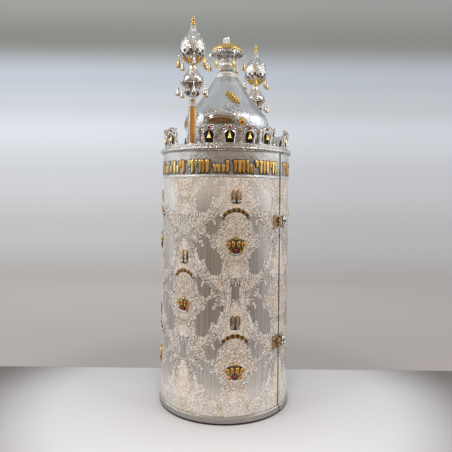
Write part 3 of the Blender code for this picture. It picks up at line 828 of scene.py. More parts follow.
def stroke_row(side):
    rng = np.random.default_rng(18)
    strokes = Piece(side + "_gilt_strokes", gilt)
    for start, end in WORDS:
        across = start + 3.2
        while across < end - 2.0:
            full = STROKE_HIGH - STROKE_LOW
            foot = STROKE_LOW + (0, 0, 0, 0, 0.45 * full)[rng.integers(5)]
            head = STROKE_HIGH - (0, 0, 0, 0, 0.35 * full)[rng.integers(5)] * (foot == STROKE_LOW)
            wide = rng.uniform(5.4, 7.4)
            lean = rng.uniform(-1.4, 1.4)
            bar = [(-wide * 0.36, foot), (wide * 0.32, foot + 0.8), (wide * 0.40 + lean * 0.3, head - 9),
                   (wide * 0.56 + lean, head - 3.0), (wide * 0.34 + lean, head),
                   (-wide * 0.58 + lean, head - 0.6), (-wide * 0.52 + lean, head - 6.0),
                   (-wide * 0.34 + lean * 0.3, head - 9)]
            line = smooth(bar, 2, closed=True)
            middle = (foot + head) / 2
            dark = [(1.75 * x, middle + (y - middle) * 1.10) for x, y in line]
            colour = (gilt, gilt, amber, olive)[rng.integers(4)]
            for paint, shape, thick, lift in ((dark_silver_and_shade, dark, 0.5, -0.1), (colour, line, 1.25, 0.0)):
                out = round_case(side, across * MM / CASE, lift * MM)
                strokes.add(pillow(metres(shape), out, thick * MM, 0.5), paint)
            gap = rng.uniform(1.2, 2.4)
            short = [(x * MM, (middle + y * full * rng.uniform(0.30, 0.48)) * MM)
                     for x, y in ((-1.3, -1), (1.3, -1), (1.6, 1), (-1.6, 1))]
            out = round_case(side, (across + (wide + gap) / 2) * MM / CASE)
            strokes.add(pillow(short, out, 0.8 * MM, 0.5), dark_gilt)
            across += wide + gap
    strokes.make(side + "_half", "gilt")


for side in HALVES:
    letter_band(side)
    stroke_row(side)

# %% [markdown]
# ## Ring mouldings and the top plate
#
# Two heavy rings hold the sheets to the drum. The lower one is a flat band with turned
# grooves, and the upper one is a half-round with a small step under it. Both are outlines
# turned through half a circle. Grooves drawn in the outline cost a few points and stay crisp
# in any light, which is why they aren't left to a bump map.

# %% Rings, plate and foot
def grooved_face(proud, bottom, grooves):
    """The start of a ring's outline: a rounded edge, and turned grooves up its face."""
    line = [(SHEET, bottom), (proud - 0.6 * MM, bottom), (proud, bottom + 0.6 * MM)]
    for height in grooves:
        line += [(proud, height - 0.45 * MM), (proud - 0.55 * MM, height), (proud, height + 0.45 * MM)]
    return line


def bottom_ring(side):
    box_low, box_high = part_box(side + "_bottom_ring")
    proud = 143.2 * MM
    line = grooved_face(proud, box_low.z, [box_low.z + g * MM for g in (2.2, 4.6, 7.0)])
    line += [(proud, box_high.z - 2.6 * MM), (proud - 0.9 * MM, box_high.z - 1.9 * MM),
             (proud - 1.0 * MM, box_high.z - 0.5 * MM), (proud - 1.9 * MM, box_high.z),
             (SHEET, box_high.z)]
    lip = [(141.0, 15.2), (141.9, 14.6), (142.5, 15.3), (142.0, 15.95), (141.0, 15.95)]
    ring = Piece(side + "_foot_ring", old_silver).add(half_turned(line, side, 120))
    ring.add(half_turned(metres(lip), side, 120), polished)
    ring.make(side + "_half", "polished_silver", [side + "_bottom_ring"], 30)


def top_ring(side):
    bottom, top = low(side + "_top_ring").z, high(side + "_top_ring").z
    middle, proud = (bottom + top) / 2 + 0.6 * MM, 145.8 * MM
    line = [(SHEET, bottom), (CASE + 0.9 * MM, bottom), (CASE + 0.9 * MM, bottom + 1.0 * MM)]
    for turn in np.linspace(-75, 80, 12):
        a = math.radians(turn)
        line.append((CASE + 1.6 * MM + (proud - CASE - 1.6 * MM) * math.cos(a),
                     middle + (top - middle) * math.sin(a)))
    line += [(CASE + 1.0 * MM, top), (SHEET, top)]
    Piece(side + "_shoulder_ring", aged).add(half_turned(line, side, 120)).make(
        side + "_half", "polished_silver", [side + "_top_ring"], 30)


def top_plate(side):
    base = low(side + "_top_plate").z
    step_in = WALL_OUT - 7.0 * MM
    line = [(0.0, base), (WALL_OUT, base), (WALL_OUT, STEP_TOP - 2.2 * MM),
            (WALL_OUT - 0.5 * MM, STEP_TOP - 1.9 * MM), (WALL_OUT - 0.7 * MM, STEP_TOP - 0.9 * MM),
            (WALL_OUT - 1.5 * MM, STEP_TOP), (step_in + 0.5 * MM, STEP_TOP),
            (step_in, STEP_TOP - 0.5 * MM), (step_in, RING_TOP + 0.4 * MM),
            (step_in - 2 * MM, RING_TOP), (110 * MM, RING_TOP), (109 * MM, RING_TOP - 0.4 * MM),
            (108 * MM, RING_TOP), (0.0, RING_TOP)]
    Piece(side + "_deck", aged).add(half_turned(line, side, 120)).make(
        side + "_half", "polished_silver", [side + "_top_plate"], 30)


for side in HALVES:
    bottom_ring(side)
    top_ring(side)
    top_plate(side)

# %% [markdown]
# ## The pierced gallery
#
# A low arcade runs round the deck: bays with horseshoe arches between capped posts, a
# scalloped crest with a red stone over each arch, and a gilt bell hanging in each opening.
# The panels could be cut with Booleans, but a strip of faces between the arch's outline and
# the crest's outline gives clean edges and follows the drum's curve by itself. Wires, beads
# and turned shapes are then set on the panels.

# %% Gallery sizes and the way round it
BAY = math.radians(17.5)
FIRST_BAY = math.radians(21.6)
BAYS = 4
GALLERY_FOOT = low("left_gallery_front").z
GALLERY_TOP = high("left_gallery_front").z
ARCH_HALF = 12.5 * MM
ARCH_LOW, ARCH_SPRING = 559.5 * MM, 571.0 * MM
GALLERY_FACE, GALLERY_LEAN, GALLERY_THICK = 135 * MM, 3 * MM, 1.8 * MM
HALF_BAY = BAY / 2 * GALLERY_FACE


def on_gallery(side, angle):
    """A place on the gallery's leaning outer face: (across, up, out)."""
    sign, facing = HALVES[side]

    def place(across, up, out):
        rise = (up - GALLERY_FOOT) / (GALLERY_TOP - GALLERY_FOOT)
        r = GALLERY_FACE + GALLERY_LEAN * min(max(rise, 0), 1) + out
        a = facing + angle + across / GALLERY_FACE
        return (sign * SEAM / 2 + r * math.cos(a), r * math.sin(a), up)
    return place


# %% One bay
ARCH_TURNS = np.linspace(-28, 208, 27)


def arch_line(grow=0.0):
    """A horseshoe arch, from its lower right foot over to its lower left foot."""
    radius = ARCH_HALF - 2.6 * MM + grow
    spring = ARCH_SPRING + 2.2 * MM
    line = [(ARCH_HALF - 4.2 * MM + grow, ARCH_LOW - grow)]
    line += [(radius * math.cos(math.radians(t)), spring + radius * math.sin(math.radians(t)))
             for t in ARCH_TURNS]
    line.append((-ARCH_HALF + 4.2 * MM - grow, ARCH_LOW - grow))
    return line


def crest_line():
    """The bay's outer edge: up the post, over three scallops, and down the other post."""
    line = [(HALF_BAY, GALLERY_FOOT)]
    for t in np.linspace(0, 1, len(ARCH_TURNS)):
        across = HALF_BAY * (1 - 2 * t)
        swell = math.sin(math.pi * t)
        scallop = abs(math.sin(5 * math.pi * t)) * 1.6 * MM
        height = 586.5 * MM + (GALLERY_TOP - 588.3 * MM) * swell ** 0.7 + scallop * 0.9
        line.append((across, height))
    line.append((-HALF_BAY, GALLERY_FOOT))
    return line


def panel(place):
    """The sheet between arch and crest, with its thickness."""
    inner, outer = arch_line(), crest_line()
    rows = [[place(x, z, out) for x, z in line]
            for line, out in ((inner, 0), (outer, 0), (outer, -GALLERY_THICK), (inner, -GALLERY_THICK))]
    return loft(rows + rows[:1])


def gallery_bay(piece, side, angle):
    """Add one bay: panel, arch wire, crest beads, stone and bell."""
    place = on_gallery(side, angle)
    piece.add(panel(place))
    rim = [Vector(place(x, z, 0.3 * MM)) for x, z in arch_line(0.9 * MM)]
    piece.add(wire(rim, 1.25 * MM, 6), polished)
    outer = [Vector(place(x, z, 0.3 * MM)) for x, z in arch_line(2.6 * MM)[1:-1]]
    piece.add(wire(outer, 0.60 * MM, 5), polished)
    for x, z in crest_line()[2:-2:2]:
        piece.add(bead(place(x * 0.96, z - 1.4 * MM, 0.2 * MM), 1.5 * MM, 8), polished)
    for x, z, turn in ((-10.4, 581.0, 40), (10.4, 581.0, -40), (-8.4, 586.6, 60), (8.4, 586.6, -60)):
        leaf = moved(leaf_outline(6.0, 3.2), x * MM, (z - 2) * MM, MM, math.radians(turn))
        piece.add(pillow(leaf, place, 1.5 * MM, 0.5, 0.4 * MM), polished)
    piece.add(pillow(moved(circle(3.9), 0, 589.2 * MM, MM), place, 1.5 * MM), polished)
    piece.add(pillow(moved(circle(3.0), 0, 589.2 * MM, MM), place, 2.8 * MM, 0.7), ruby)
    # Painted shade: a dark sheet behind the opening stands for the shade between gallery and dome round the
    # bell.
    behind = lifted(place, -4.5 * MM)
    piece.add(pillow(arch_line(0.6 * MM), behind, 0.6 * MM, 0.2), dark_silver_and_shade)
    for hand in (-1, 1):
        curl = [(hand * (4.4 + 1.9 * math.cos(t)), 588.0 + 1.7 * math.sin(t))
                for t in np.linspace(0, 5, 9)]
        piece.add(wire([place(x * MM, z * MM, 0.3 * MM) for x, z in curl], 0.38 * MM, 5))
    hang = place(0, ARCH_SPRING + 12.2 * MM, -0.9 * MM)
    piece.add(bell(hang, 17.5 * MM, 5.2 * MM), gilt)


def circle(radius, count=12):
    """Points round a circle."""
    return [(radius * math.cos(t), radius * math.sin(t))
            for t in np.arange(count) * 2 * math.pi / count]


def bell(hang, tall, wide):
    """A small bell or drop that hangs from a point, with its link and clapper."""
    x, y, z = hang
    link, mouth = 0.22 * tall, 0.10 * tall
    outline = [(0, -tall), (0.16 * wide, -tall + 0.3 * mouth), (0.14 * wide, -tall + mouth),
               (0.80 * wide, -tall + mouth), (wide, -tall + 1.15 * mouth),
               (0.92 * wide, -tall + 1.9 * mouth), (0.66 * wide, -tall + 3.4 * mouth),
               (0.50 * wide, -tall + 5.0 * mouth), (0.40 * wide, -link - 0.6 * mouth),
               (0.18 * wide, -link), (0.20 * wide, -link * 0.55), (0.10 * wide, -link * 0.3), (0, 0)]
    return turned(outline, (x, y, z), 14)


def leaf_outline(long, wide, notches=0):
    """A pointed leaf from (0, 0) to (0, long), with a toothed edge if asked."""
    line = []
    for t in np.linspace(0, 1, 9):
        tooth = 1 + 0.22 * math.cos(notches * math.pi * t) if notches else 1
        line.append((wide / 2 * math.sin(math.pi * t ** 0.8) * tooth, long * t))
    return line + [(-x, z) for x, z in line[-2:0:-1]]


# %% Posts between the bays
def gallery_post(piece, side, angle):
    """Add a post: a half column with a base, a capital ledge and a cap."""
    place = on_gallery(side, angle)
    plinth = [(-3.6, 557.4), (3.6, 557.4), (3.6, 560.4), (2.9, 561.4), (-2.9, 561.4), (-3.6, 560.4)]
    shaft = [(-2.5, 561.4), (2.5, 561.4), (2.2, 576.0), (-2.2, 576.0)]
    ledge = [(-3.4, 576.0), (3.4, 576.0), (4.4, 578.6), (4.4, 580.0), (-4.4, 580.0), (-4.4, 578.6)]
    cap = [(-3.0, 580.0), (3.0, 580.0), (3.4, 584.0), (2.0, 588.0), (0.0, 590.4), (-2.0, 588.0),
           (-3.4, 584.0)]
    for shape, thick, finish in ((plinth, 1.9, worked), (shaft, 1.4, aged), (ledge, 2.4, polished),
                                 (cap, 1.7, aged)):
        piece.add(pillow(metres(shape), place, thick * MM, 0.5), finish)
    piece.add(bead(place(0, 591.4 * MM, -0.2 * MM), 1.9 * MM, 10), polished)
    piece.add(pillow(moved(circle(1.5, 10), 0, 584.6 * MM, MM), place, 2.9 * MM, 0.6), gilt)
    for hand in (-1, 1):
        line = [(hand * 0.9, 562.5), (hand * 0.8, 575.2)]
        piece.add(wire([place(x * MM, z * MM, 1.4 * MM) for x, z in line], 0.32 * MM, 5))


for side, (sign, facing) in HALVES.items():
    for end, toward in (("front", -sign), ("back", sign)):
        row = Piece(f"{side}_{end}_arcade", worked)
        for bay in range(BAYS):
            gallery_bay(row, side, toward * (FIRST_BAY + bay * BAY))
        for post in range(BAYS + 1):
            gallery_post(row, side, toward * (FIRST_BAY + (post - 0.5) * BAY))
        row.make(side + "_half", "polished_silver", [f"{side}_gallery_{end}"], 35)

# %% [markdown]
# ## The ogee dome
#
# The dome is a thin shell with an ogee profile: upright at its foot, swelling, then sweeping
# in to a slim neck. It splits along the seam with the case, so it is turned as two halves,
# each with an inside. The chased work on it is raised from the sheet. Leaves, arches and
# rosettes are placed with a function that follows the profile, so each one lies on the
# slope wherever it is put.

# %% Dome profile and places on it
DOME_PROFILE = smooth([(88.5, 552.3), (88.4, 589.0), (92.4, 612.0), (88.0, 628.5), (65.0, 657.0),
                       (42.5, 690.0), (33.8, 704.5), (25.5, 717.0)], 8)
DOME_R, DOME_Z = (np.array(c) * MM for c in zip(*DOME_PROFILE))


def on_dome(side, angle):
    """A place on the dome: (across, height, out), out along the surface's own slope."""
    sign, facing = HALVES[side]

    def place(across, up, out):
        r = float(np.interp(up, DOME_Z, DOME_R))
        rise = float(np.interp(up + 2 * MM, DOME_Z, DOME_R)) - r
        steep = math.atan2(2 * MM, rise)
        r_out = r + out * math.sin(steep)
        a = facing + angle + across / r
        return (sign * SEAM / 2 + r_out * math.cos(a), r_out * math.sin(a), up - out * math.cos(steep))
    return place


# %% Dome with its chased work
def dome(side):
    thin = 2.0 * MM
    outer = metres(DOME_PROFILE)
    inner = [(r - thin, z - 0.6 * MM * (z > 640 * MM)) for r, z in reversed(outer)]
    inner[0] = (0, DOME_TOP - 1.6 * MM)
    inner[-1] = (outer[0][0] - thin, DECK)
    piece = Piece(side + "_ogee_dome", raised_work)
    piece.add(half_turned(outer + [(0, DOME_TOP)] + inner, side))
    for height in (560.0, 562.2):
        ring = [on_dome(side, math.radians(a))(0, height * MM, 0.2 * MM) for a in range(-88, 89, 4)]
        piece.add(wire(ring, 0.8 * MM, 6), worked)
    for hand in (-1, 1):
        arch_hood(piece, side, hand)
        chased_panel(piece, side, hand)
    gilt_leaf(piece, side)
    return piece.make(side + "_half", "polished_silver", [side + "_dome"], 30)


def arch_hood(piece, side, hand):
    """A polished hood over a niche, with scrolls of leaves along it."""
    place = on_dome(side, math.radians(28.5) * hand)
    turns = np.linspace(0, math.pi, 25)
    for reach, lift, thick in ((31.0, 0.6, 1.5), (27.5, 0.2, 0.8)):
        line = [(reach * math.cos(t), 605.0 + (reach - 14) * 0.95 * math.sin(t) ** 0.7) for t in turns]
        piece.add(wire([place(x * MM, z * MM, lift * MM) for x, z in line], thick * MM, 8), polished)
    for i, t in enumerate(turns[1:-1]):
        x, z = 33.0 * math.cos(t), 606.0 + 18.6 * math.sin(t) ** 0.7
        shape = moved(leaf_outline(8.5, 4.8), x * MM, z * MM, MM, t - math.pi / 2 + 0.5 * (-1) ** i)
        piece.add(pillow(shape, place, 1.3 * MM), worked)
    # Painted reflection: the niche's brown plate and the amber sills below stand for the warm light
    # reflected in the niche.
    niche = [(-26, 604), (26, 604), (23, 613), (13, 617.5), (-13, 617.5), (-23, 613)]
    niche = metres(smooth(niche, 4, closed=True))
    piece.add(pillow(niche, place, 1.2 * MM, 0.35), brown_brass)
    for x, turn, long in ((-25, 40, 13), (-18, 20, 12), (-10, 5, 11), (-22, 75, 11), (-30, 60, 10),
                          (27, -50, 12)):
        outline = leaf_outline(long, long * 0.55)
        puff = moved(outline, x * hand * MM, 618.5 * MM, MM, math.radians(turn * hand))
        piece.add(pillow(puff, place, 2.2 * MM, 0.5, 0.5 * MM), polished)
    # Painted reflection: amber sills for the warm light in the niche.
    for height, bow, thick in ((609.5, 4.0, 2.3), (604.5, 0.0, 1.6)):
        sill = [(x, height + bow * math.cos(x / 15)) for x in np.linspace(-23, 23, 14)]
        piece.add(wire([place(x * MM, z * MM, 0.8 * MM) for x, z in sill], thick * MM, 6), amber)


def gilt_leaf(piece, side):
    """A gilt leaf of small leaflets on a dark plate, high on the slope of each half."""
    place = on_dome(side, math.radians(45))
    lean = math.radians(226)
    shape = moved(leaf_outline(36, 12.5), -9.5 * MM, 675.0 * MM, MM, lean)
    piece.add(pillow(shape, place, 1.2 * MM, 0.4, 0.5 * MM), olive)
    for i in range(6):
        base = (-8.6 + 4.3 * i) * MM, (674.4 - 4.1 * i) * MM
        for turn in (52, -52, 0):
            long = 6.0 + 6.5 * math.sin(math.pi * (i + 0.8) / 6.4) if turn else 7.0
            vein = moved(leaf_outline(long, 4.0), *base, MM, lean + math.radians(turn))
            piece.add(pillow(vein, place, 2.4 * MM, 0.5, 0.5 * MM), gilt)


def chased_panel(piece, side, hand):
    """Silver sprays low on the slope, and a gilt rosette."""
    place = on_dome(side, math.radians(45) * hand)
    for x, z, turn, long in ((-3, 652, 150, 15), (3, 646, 185, 14), (-8, 646, 120, 12), (9, 650, 215, 12),
                             (-2, 636, 95, 13), (8, 634, 265, 13), (1, 628, 20, 12), (-11, 636, 70, 11),
                             (15, 640, 300, 10), (-5, 622, 50, 10), (10, 622, -30, 10), (19, 630, -60, 9)):
        outline = leaf_outline(long, long * 0.42, 4)
        shape = moved(outline, x * hand * MM, z * MM, MM, math.radians(turn * hand))
        piece.add(pillow(shape, place, 1.3 * MM), worked)
    for x, z in ((1, 641), (-7, 630), (7, 643), (14, 633), (-1, 616), (16, 624)):
        piece.add(bead(place(x * hand * MM, z * MM, 0.6 * MM), 1.3 * MM, 8), worked)
    flower = on_dome(side, math.radians(57) * hand)
    rosette(piece, flower, 607 * MM, 11.0)


def rosette(piece, place, up, size, petals=7):
    """A raised flower of gilt petals round a stone."""
    for i in range(petals):
        turn = 2 * math.pi * i / petals
        shape = moved(leaf_outline(size, size * 0.62), 0, up, MM, turn)
        piece.add(pillow(shape, place, 1.6 * MM, 0.5, 0.4 * MM), gilt)
    piece.add(pillow(moved(circle(size * 0.26), 0, up, MM), place, 2.8 * MM, 0.8), ruby)


for side in HALVES:
    dome(side)

# %% [markdown]
# ## Neck, canopy and tablets
#
# A turned neck with two beads lifts a shallow gilt canopy. Small leaves hang from the
# canopy's rim like a fringe. Under it, silver scrolls stand round the neck, and the arms over
# some of them carry gilt bells. On top stand two small round-topped tablets, held by the left
# half. All of it is turned outlines, wires and pillows again.

# %% Neck and canopy
def on_turned(centre, profile, angle):
    """A place on a turned shape: (across, height, out). The profile is in millimetres."""
    radii, heights = (np.array(c) * MM for c in zip(*profile))

    def place(across, up, out):
        r = float(np.interp(up, heights, radii))
        below, above = (float(np.interp(up + step, heights, radii)) for step in (-MM, MM))
        steep = math.atan2(2 * MM, above - below)
        r_out = r + out * math.sin(steep)
        a = angle + across / max(r, 2 * MM)
        x, y = centre[0] + r_out * math.cos(a), centre[1] + r_out * math.sin(a)
        return (x, y, up - out * math.cos(steep))
    return place


def neck(side):
    base, top = low(side + "_neck").z, high(side + "_neck").z
    beads = smooth([(22.6, 726.4), (19.4, 728.8), (17.2, 731.6), (15.8, 733.6), (13.0, 736.4),
                    (11.2, 738.6)], 4)
    upper = smooth([(12.2, 741.0), (14.2, 743.2), (15.0, 746.0), (14.0, 749.4), (12.2, 752.0),
                    (13.8, 755.0), (14.6, 758.0), (13.6, 761.2), (11.8, 764.2), (11.4, 768.6),
                    (13.6, 772.0)], 3)
    skirt = [(23.9, base / MM), (23.9, base / MM + 1.4), (22.4, base / MM + 2.2), (22.8, base / MM + 3.4),
             (23.4, base / MM + 7.0)]
    line = [(0, base)] + metres(skirt + beads + upper) + [(12.6 * MM, top), (0, top)]
    piece = Piece(side + "_turned_neck", frosted)
    piece.add(half_turned(line, side, 48))
    for height, reach in ((739.6, 12.0), (752.0, 12.6)):
        band = [(9.5, height - 0.7), (reach, height - 0.7), (reach, height + 0.7), (9.5, height + 0.7)]
        piece.add(half_turned(metres(band), side, 48), old_silver)
    shoulder = [(22.8, 717.0), (23.2, 725.4), (19.4, 728.8), (15.8, 733.6), (13.0, 736.4)]
    for turn in range(-80, 81, 20):
        place = on_turned((HALVES[side][0] * SEAM / 2, 0), shoulder, HALVES[side][1] + math.radians(turn))
        leaf = moved(leaf_outline(11.0, 6.4), 0, 726.2 * MM, MM)
        piece.add(pillow(leaf, place, 0.9 * MM, 0.5, 0.4 * MM), polished)
    piece.make(side + "_half", "polished_silver", [side + "_neck"], 30)


def canopy(side):
    base, top = low(side + "_canopy").z, high(side + "_canopy").z
    sign, facing = HALVES[side]
    upper = smooth([(36.0, 778.5), (34.6, 782.0), (31.0, 785.2), (22.5, 790.8), (12.0, 793.3)], 4)
    lining = [(12.0, 0), (20.0, 0.9), (31.5, 1.5), (31.5, 3.0), (0, 3.0), (0, 0)]
    rim = [(0, 2.6), (31.6, 2.6), (33.0, 1.8), (34.6, 0), (35.6, 0.3), (36.0, 1.2), (35.5, 2.2),
           (36.0, 3.2)]
    line = moved(rim, 0, base, MM) + metres(upper) + [(0, top)]
    piece = Piece(side + "_canopy_with_bells", gilt)
    piece.add(half_turned(line, side, 72))
    piece.add(half_turned(moved(lining, 0, base, MM), side, 72), worked)
    shift = sign * SEAM / 2
    for turn in range(-81, 82, 9):
        a = facing + math.radians(turn)
        for long, out, turned_by, finish in ((7.6, 33.4, 0, worked), (5.4, 34.6, 4.5, polished)):
            fringe = on_fringe((shift, 0), a + math.radians(turned_by), out * MM, base + 1.0 * MM)
            leaf = moved(leaf_outline(long, 4.4), 0, 0, MM, math.pi)
            piece.add(pillow(leaf, fringe, 1.1 * MM, 0.5), finish)
    for turn in range(-84, 85, 8):
        a = facing + math.radians(turn)
        piece.add(bead((shift + 35.3 * MM * math.cos(a), 35.3 * MM * math.sin(a), base + 2.2 * MM),
                       1.25 * MM, 8), polished)
    for turn in (-60, -30, 0, 30, 60):
        a = facing + math.radians(turn)
        on_arm = scroll_plane((shift, 0), a)
        if turn % 60 == 0:
            arm = smooth([(15, 769), (20, 765), (26, 769), (32, 775), (37.5, 772), (39.5, 765),
                          (38.2, 758)], 4)
            turns = np.linspace(0, 6.28, 9)
            loop = [(38.2 + 1.5 * math.sin(t), 755.0 + 2.0 * math.cos(t)) for t in turns]
            piece.add(wire([on_arm(r, z) for r, z in arm], 0.85 * MM, 6), polished)
            piece.add(wire([on_arm(r, z) for r, z in loop], 0.40 * MM, 5), polished)
            piece.add(bell(on_arm(38.2, 753.5), 21 * MM, 5.2 * MM))
        curl = scroll_line(26, 767, 6, 0.9, 16)
        piece.add(wire([on_arm(r, z) for r, z in curl], 0.65 * MM, 6), polished)
        tuft = [(14, 764), (18, 760), (22, 761.5), (22.5, 765)]
        piece.add(wire([on_arm(r, z) for r, z in smooth(tuft, 4)], 0.6 * MM, 6), polished)
    piece.make(side + "_half", "gilt", [side + "_canopy"], 30)


def on_fringe(centre, a, radius, top):
    """A place on an upright sheet that hangs under the canopy's rim."""
    def place(across, up, out):
        r, turn = radius + out, a + across / radius
        return (centre[0] + r * math.cos(turn), centre[1] + r * math.sin(turn), top + up)
    return place


def scroll_line(r, z, reach, closing, points):
    """A small scroll in (radius, height), winding in from `reach` round (r, z)."""
    return [(r + (reach - closing * t) * math.cos(t), z + (reach - closing * t) * math.sin(t))
            for t in np.linspace(0, 5.4, points)]


def scroll_plane(centre, a):
    """Points given as (radius, height) in the upright plane that faces direction `a`."""
    def point(r, z):
        return Vector((centre[0] + r * MM * math.cos(a), centre[1] + r * MM * math.sin(a), z * MM))
    return point


# %% Tablets on the canopy
def tablet_outline(wide, tall, arc=9):
    """An upright tablet with a round top, standing on (0, 0)."""
    half = wide / 2
    top = [(half * math.cos(t), tall - half + half * math.sin(t)) for t in np.linspace(0, math.pi, arc)]
    return [(-half, 0), (half, 0)] + top


def canopy_tablets():
    corner_low, corner_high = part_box("finial_tablets")
    back, front = corner_high.x, corner_low.x
    foot = corner_low.z

    def place(across, up, out):
        return (back - out, -across, foot + up)

    piece = Piece("pair_of_tablets", polished)
    for hand in (-1, 1):
        plate = moved(tablet_outline(8.0, 14.6), hand * 4.2 * MM, 0.9 * MM, MM)
        piece.add(pillow(plate, place, back - front - 0.9 * MM, 0.3))
        panel = moved(tablet_outline(5.2, 11.1), hand * 4.2 * MM, 2.5 * MM, MM)
        piece.add(pillow(panel, place, back - front - 0.55 * MM, 0.5), old_silver)
        for line in range(4):
            x = hand * 4.2
            bar = [place((x + dx) * MM, (4.2 + 2.2 * line) * MM, back - front - 0.4 * MM)
                   for dx in (-1.6, 1.6)]
            piece.add(wire(bar, 0.35 * MM, 5))
    base = [(-8.2, 0), (8.2, 0), (8.2, 1.0), (7.4, 1.7), (-7.4, 1.7), (-8.2, 1.0)]
    piece.add(pillow(metres(base), place, back - front, 0.3))
    piece.make("left_half", "polished_silver", ["finial_tablets"], 30)


for side in HALVES:
    neck(side)
    canopy(side)
canopy_tablets()

# %% [markdown]
# ## The finials
#
# Each half carries a tall finial on its deck: an eight-sided staff between silver corner
# wires, with gilding on two pairs of its faces, two chased bulbs hung with bells, and a gilt
# tip. The lower bulb has a fluted dish, a studded brass waist and a lobed shoulder. A plain
# turned bulb looks like a chess piece, so the lobes are made by letting the radius swell and
# sink round the bulb, and the chasing sits on the surface as petals, eyes and beads.

# %% Lobed bulbs
def lobed(outline, centre, lobes, depth, reach, steps=72):
    """A turned shape whose radius swells in lobes between two heights."""
    rows = []
    for r, z in outline:
        up = min(max((z - reach[0]) / (reach[1] - reach[0]), 0), 1)
        share = max(0.0, math.sin(math.pi * up))
        turns = np.arange(steps if r > 1e-7 else 1) * 2 * math.pi / steps
        swell = [r * (1 - depth * share * (1 - abs(math.cos(lobes * a / 2)) ** 0.6)) for a in turns]
        rows.append([(centre[0] + s * math.cos(a), centre[1] + s * math.sin(a), z)
                     for s, a in zip(swell, turns)])
    return loft(rows)


# %% Staff
def finial_staff(side, centre):
    piece = Piece(side + "_staff", frosted)
    foot = [(0, 552.3), (10.5, 552.3), (10.5, 554.2), (9.6, 555.4), (10.2, 556.2), (9.0, 557.6),
            (8.4, 559.2), (0, 559.2)]
    piece.add(turned(metres(foot), (*centre, 0), 32))
    shaft = [(0, 558.8), (8.0, 558.8), (8.0, 635.2), (0, 635.2)]
    piece.add(turned(metres(shaft), (*centre, 0), 8))
    collar = [(0, 634.6), (8.4, 634.6), (9.5, 636.6), (9.5, 638.6), (8.4, 639.8), (9.2, 640.8),
              (7.4, 642.2), (6.4, 643.6), (0, 643.6)]
    piece.add(turned(metres(collar), (*centre, 0), 32))
    throat = [(0, 643.0), (6.0, 643.0), (6.0, 650.2), (0, 650.2)]
    piece.add(turned(metres(throat), (*centre, 0), 8), brown_brass)
    cup = smooth([(6.2, 649.6), (7.4, 650.8), (6.6, 652.2), (7.4, 654.2), (8.8, 656.2)], 3)
    piece.add(turned(metres([(0, 649.6)] + cup + [(0, 656.2)]), (*centre, 0), 32))
    for i in range(8):
        corner = 2 * math.pi * i / 8
        finish = amber if i % 4 == 1 else frosted      # two gilt faces meet at every fourth corner
        for reach, bottom, top, thick in ((8.0, 559.4, 635.0, 0.75), (6.0, 643.4, 650.0, 0.6)):
            x = centre[0] + reach * MM * math.cos(corner)
            y = centre[1] + reach * MM * math.sin(corner)
            piece.add(wire([(x, y, bottom * MM), (x, y, top * MM)], thick * MM, 8), finish)
        flat = corner + math.pi / 8
        apothem = 8.0 * MM * math.cos(math.pi / 8)

        def face(across, up, out, flat=flat):
            r = apothem + out
            return (centre[0] + r * math.cos(flat) - across * math.sin(flat),
                    centre[1] + r * math.sin(flat) + across * math.cos(flat), up)
        gilded = i % 4 < 2
        half = 2.3 if gilded else 1.5
        panel = [(-half, 560.6), (half, 560.6), (half, 633.6), (-half, 633.6)]
        piece.add(pillow(metres(panel), face, 0.45 * MM, 0.4), amber if gilded else aged)
    piece.make(side + "_half", "polished_silver", [side + "_finial_staff"], 30)


# %% Bells with a gilt rim
BELL_TURNS = (-145, -95, -45, 45, 95, 145)        # degrees from straight outward


def hung_bell(piece, hang, tall, wide, finish):
    """Add a bell with a gilt rim and clapper."""
    piece.add(bell(hang, tall, wide), finish)
    x, y, z = hang
    mouth = [(x + 0.98 * wide * math.cos(t), y + 0.98 * wide * math.sin(t), z - 0.885 * tall)
             for t in np.linspace(0, 2 * math.pi, 17)]
    piece.add(wire(mouth, 0.13 * wide, 6), gilt)
    piece.add(bead((x, y, z - 0.93 * tall), 0.36 * wide, 8), gilt)


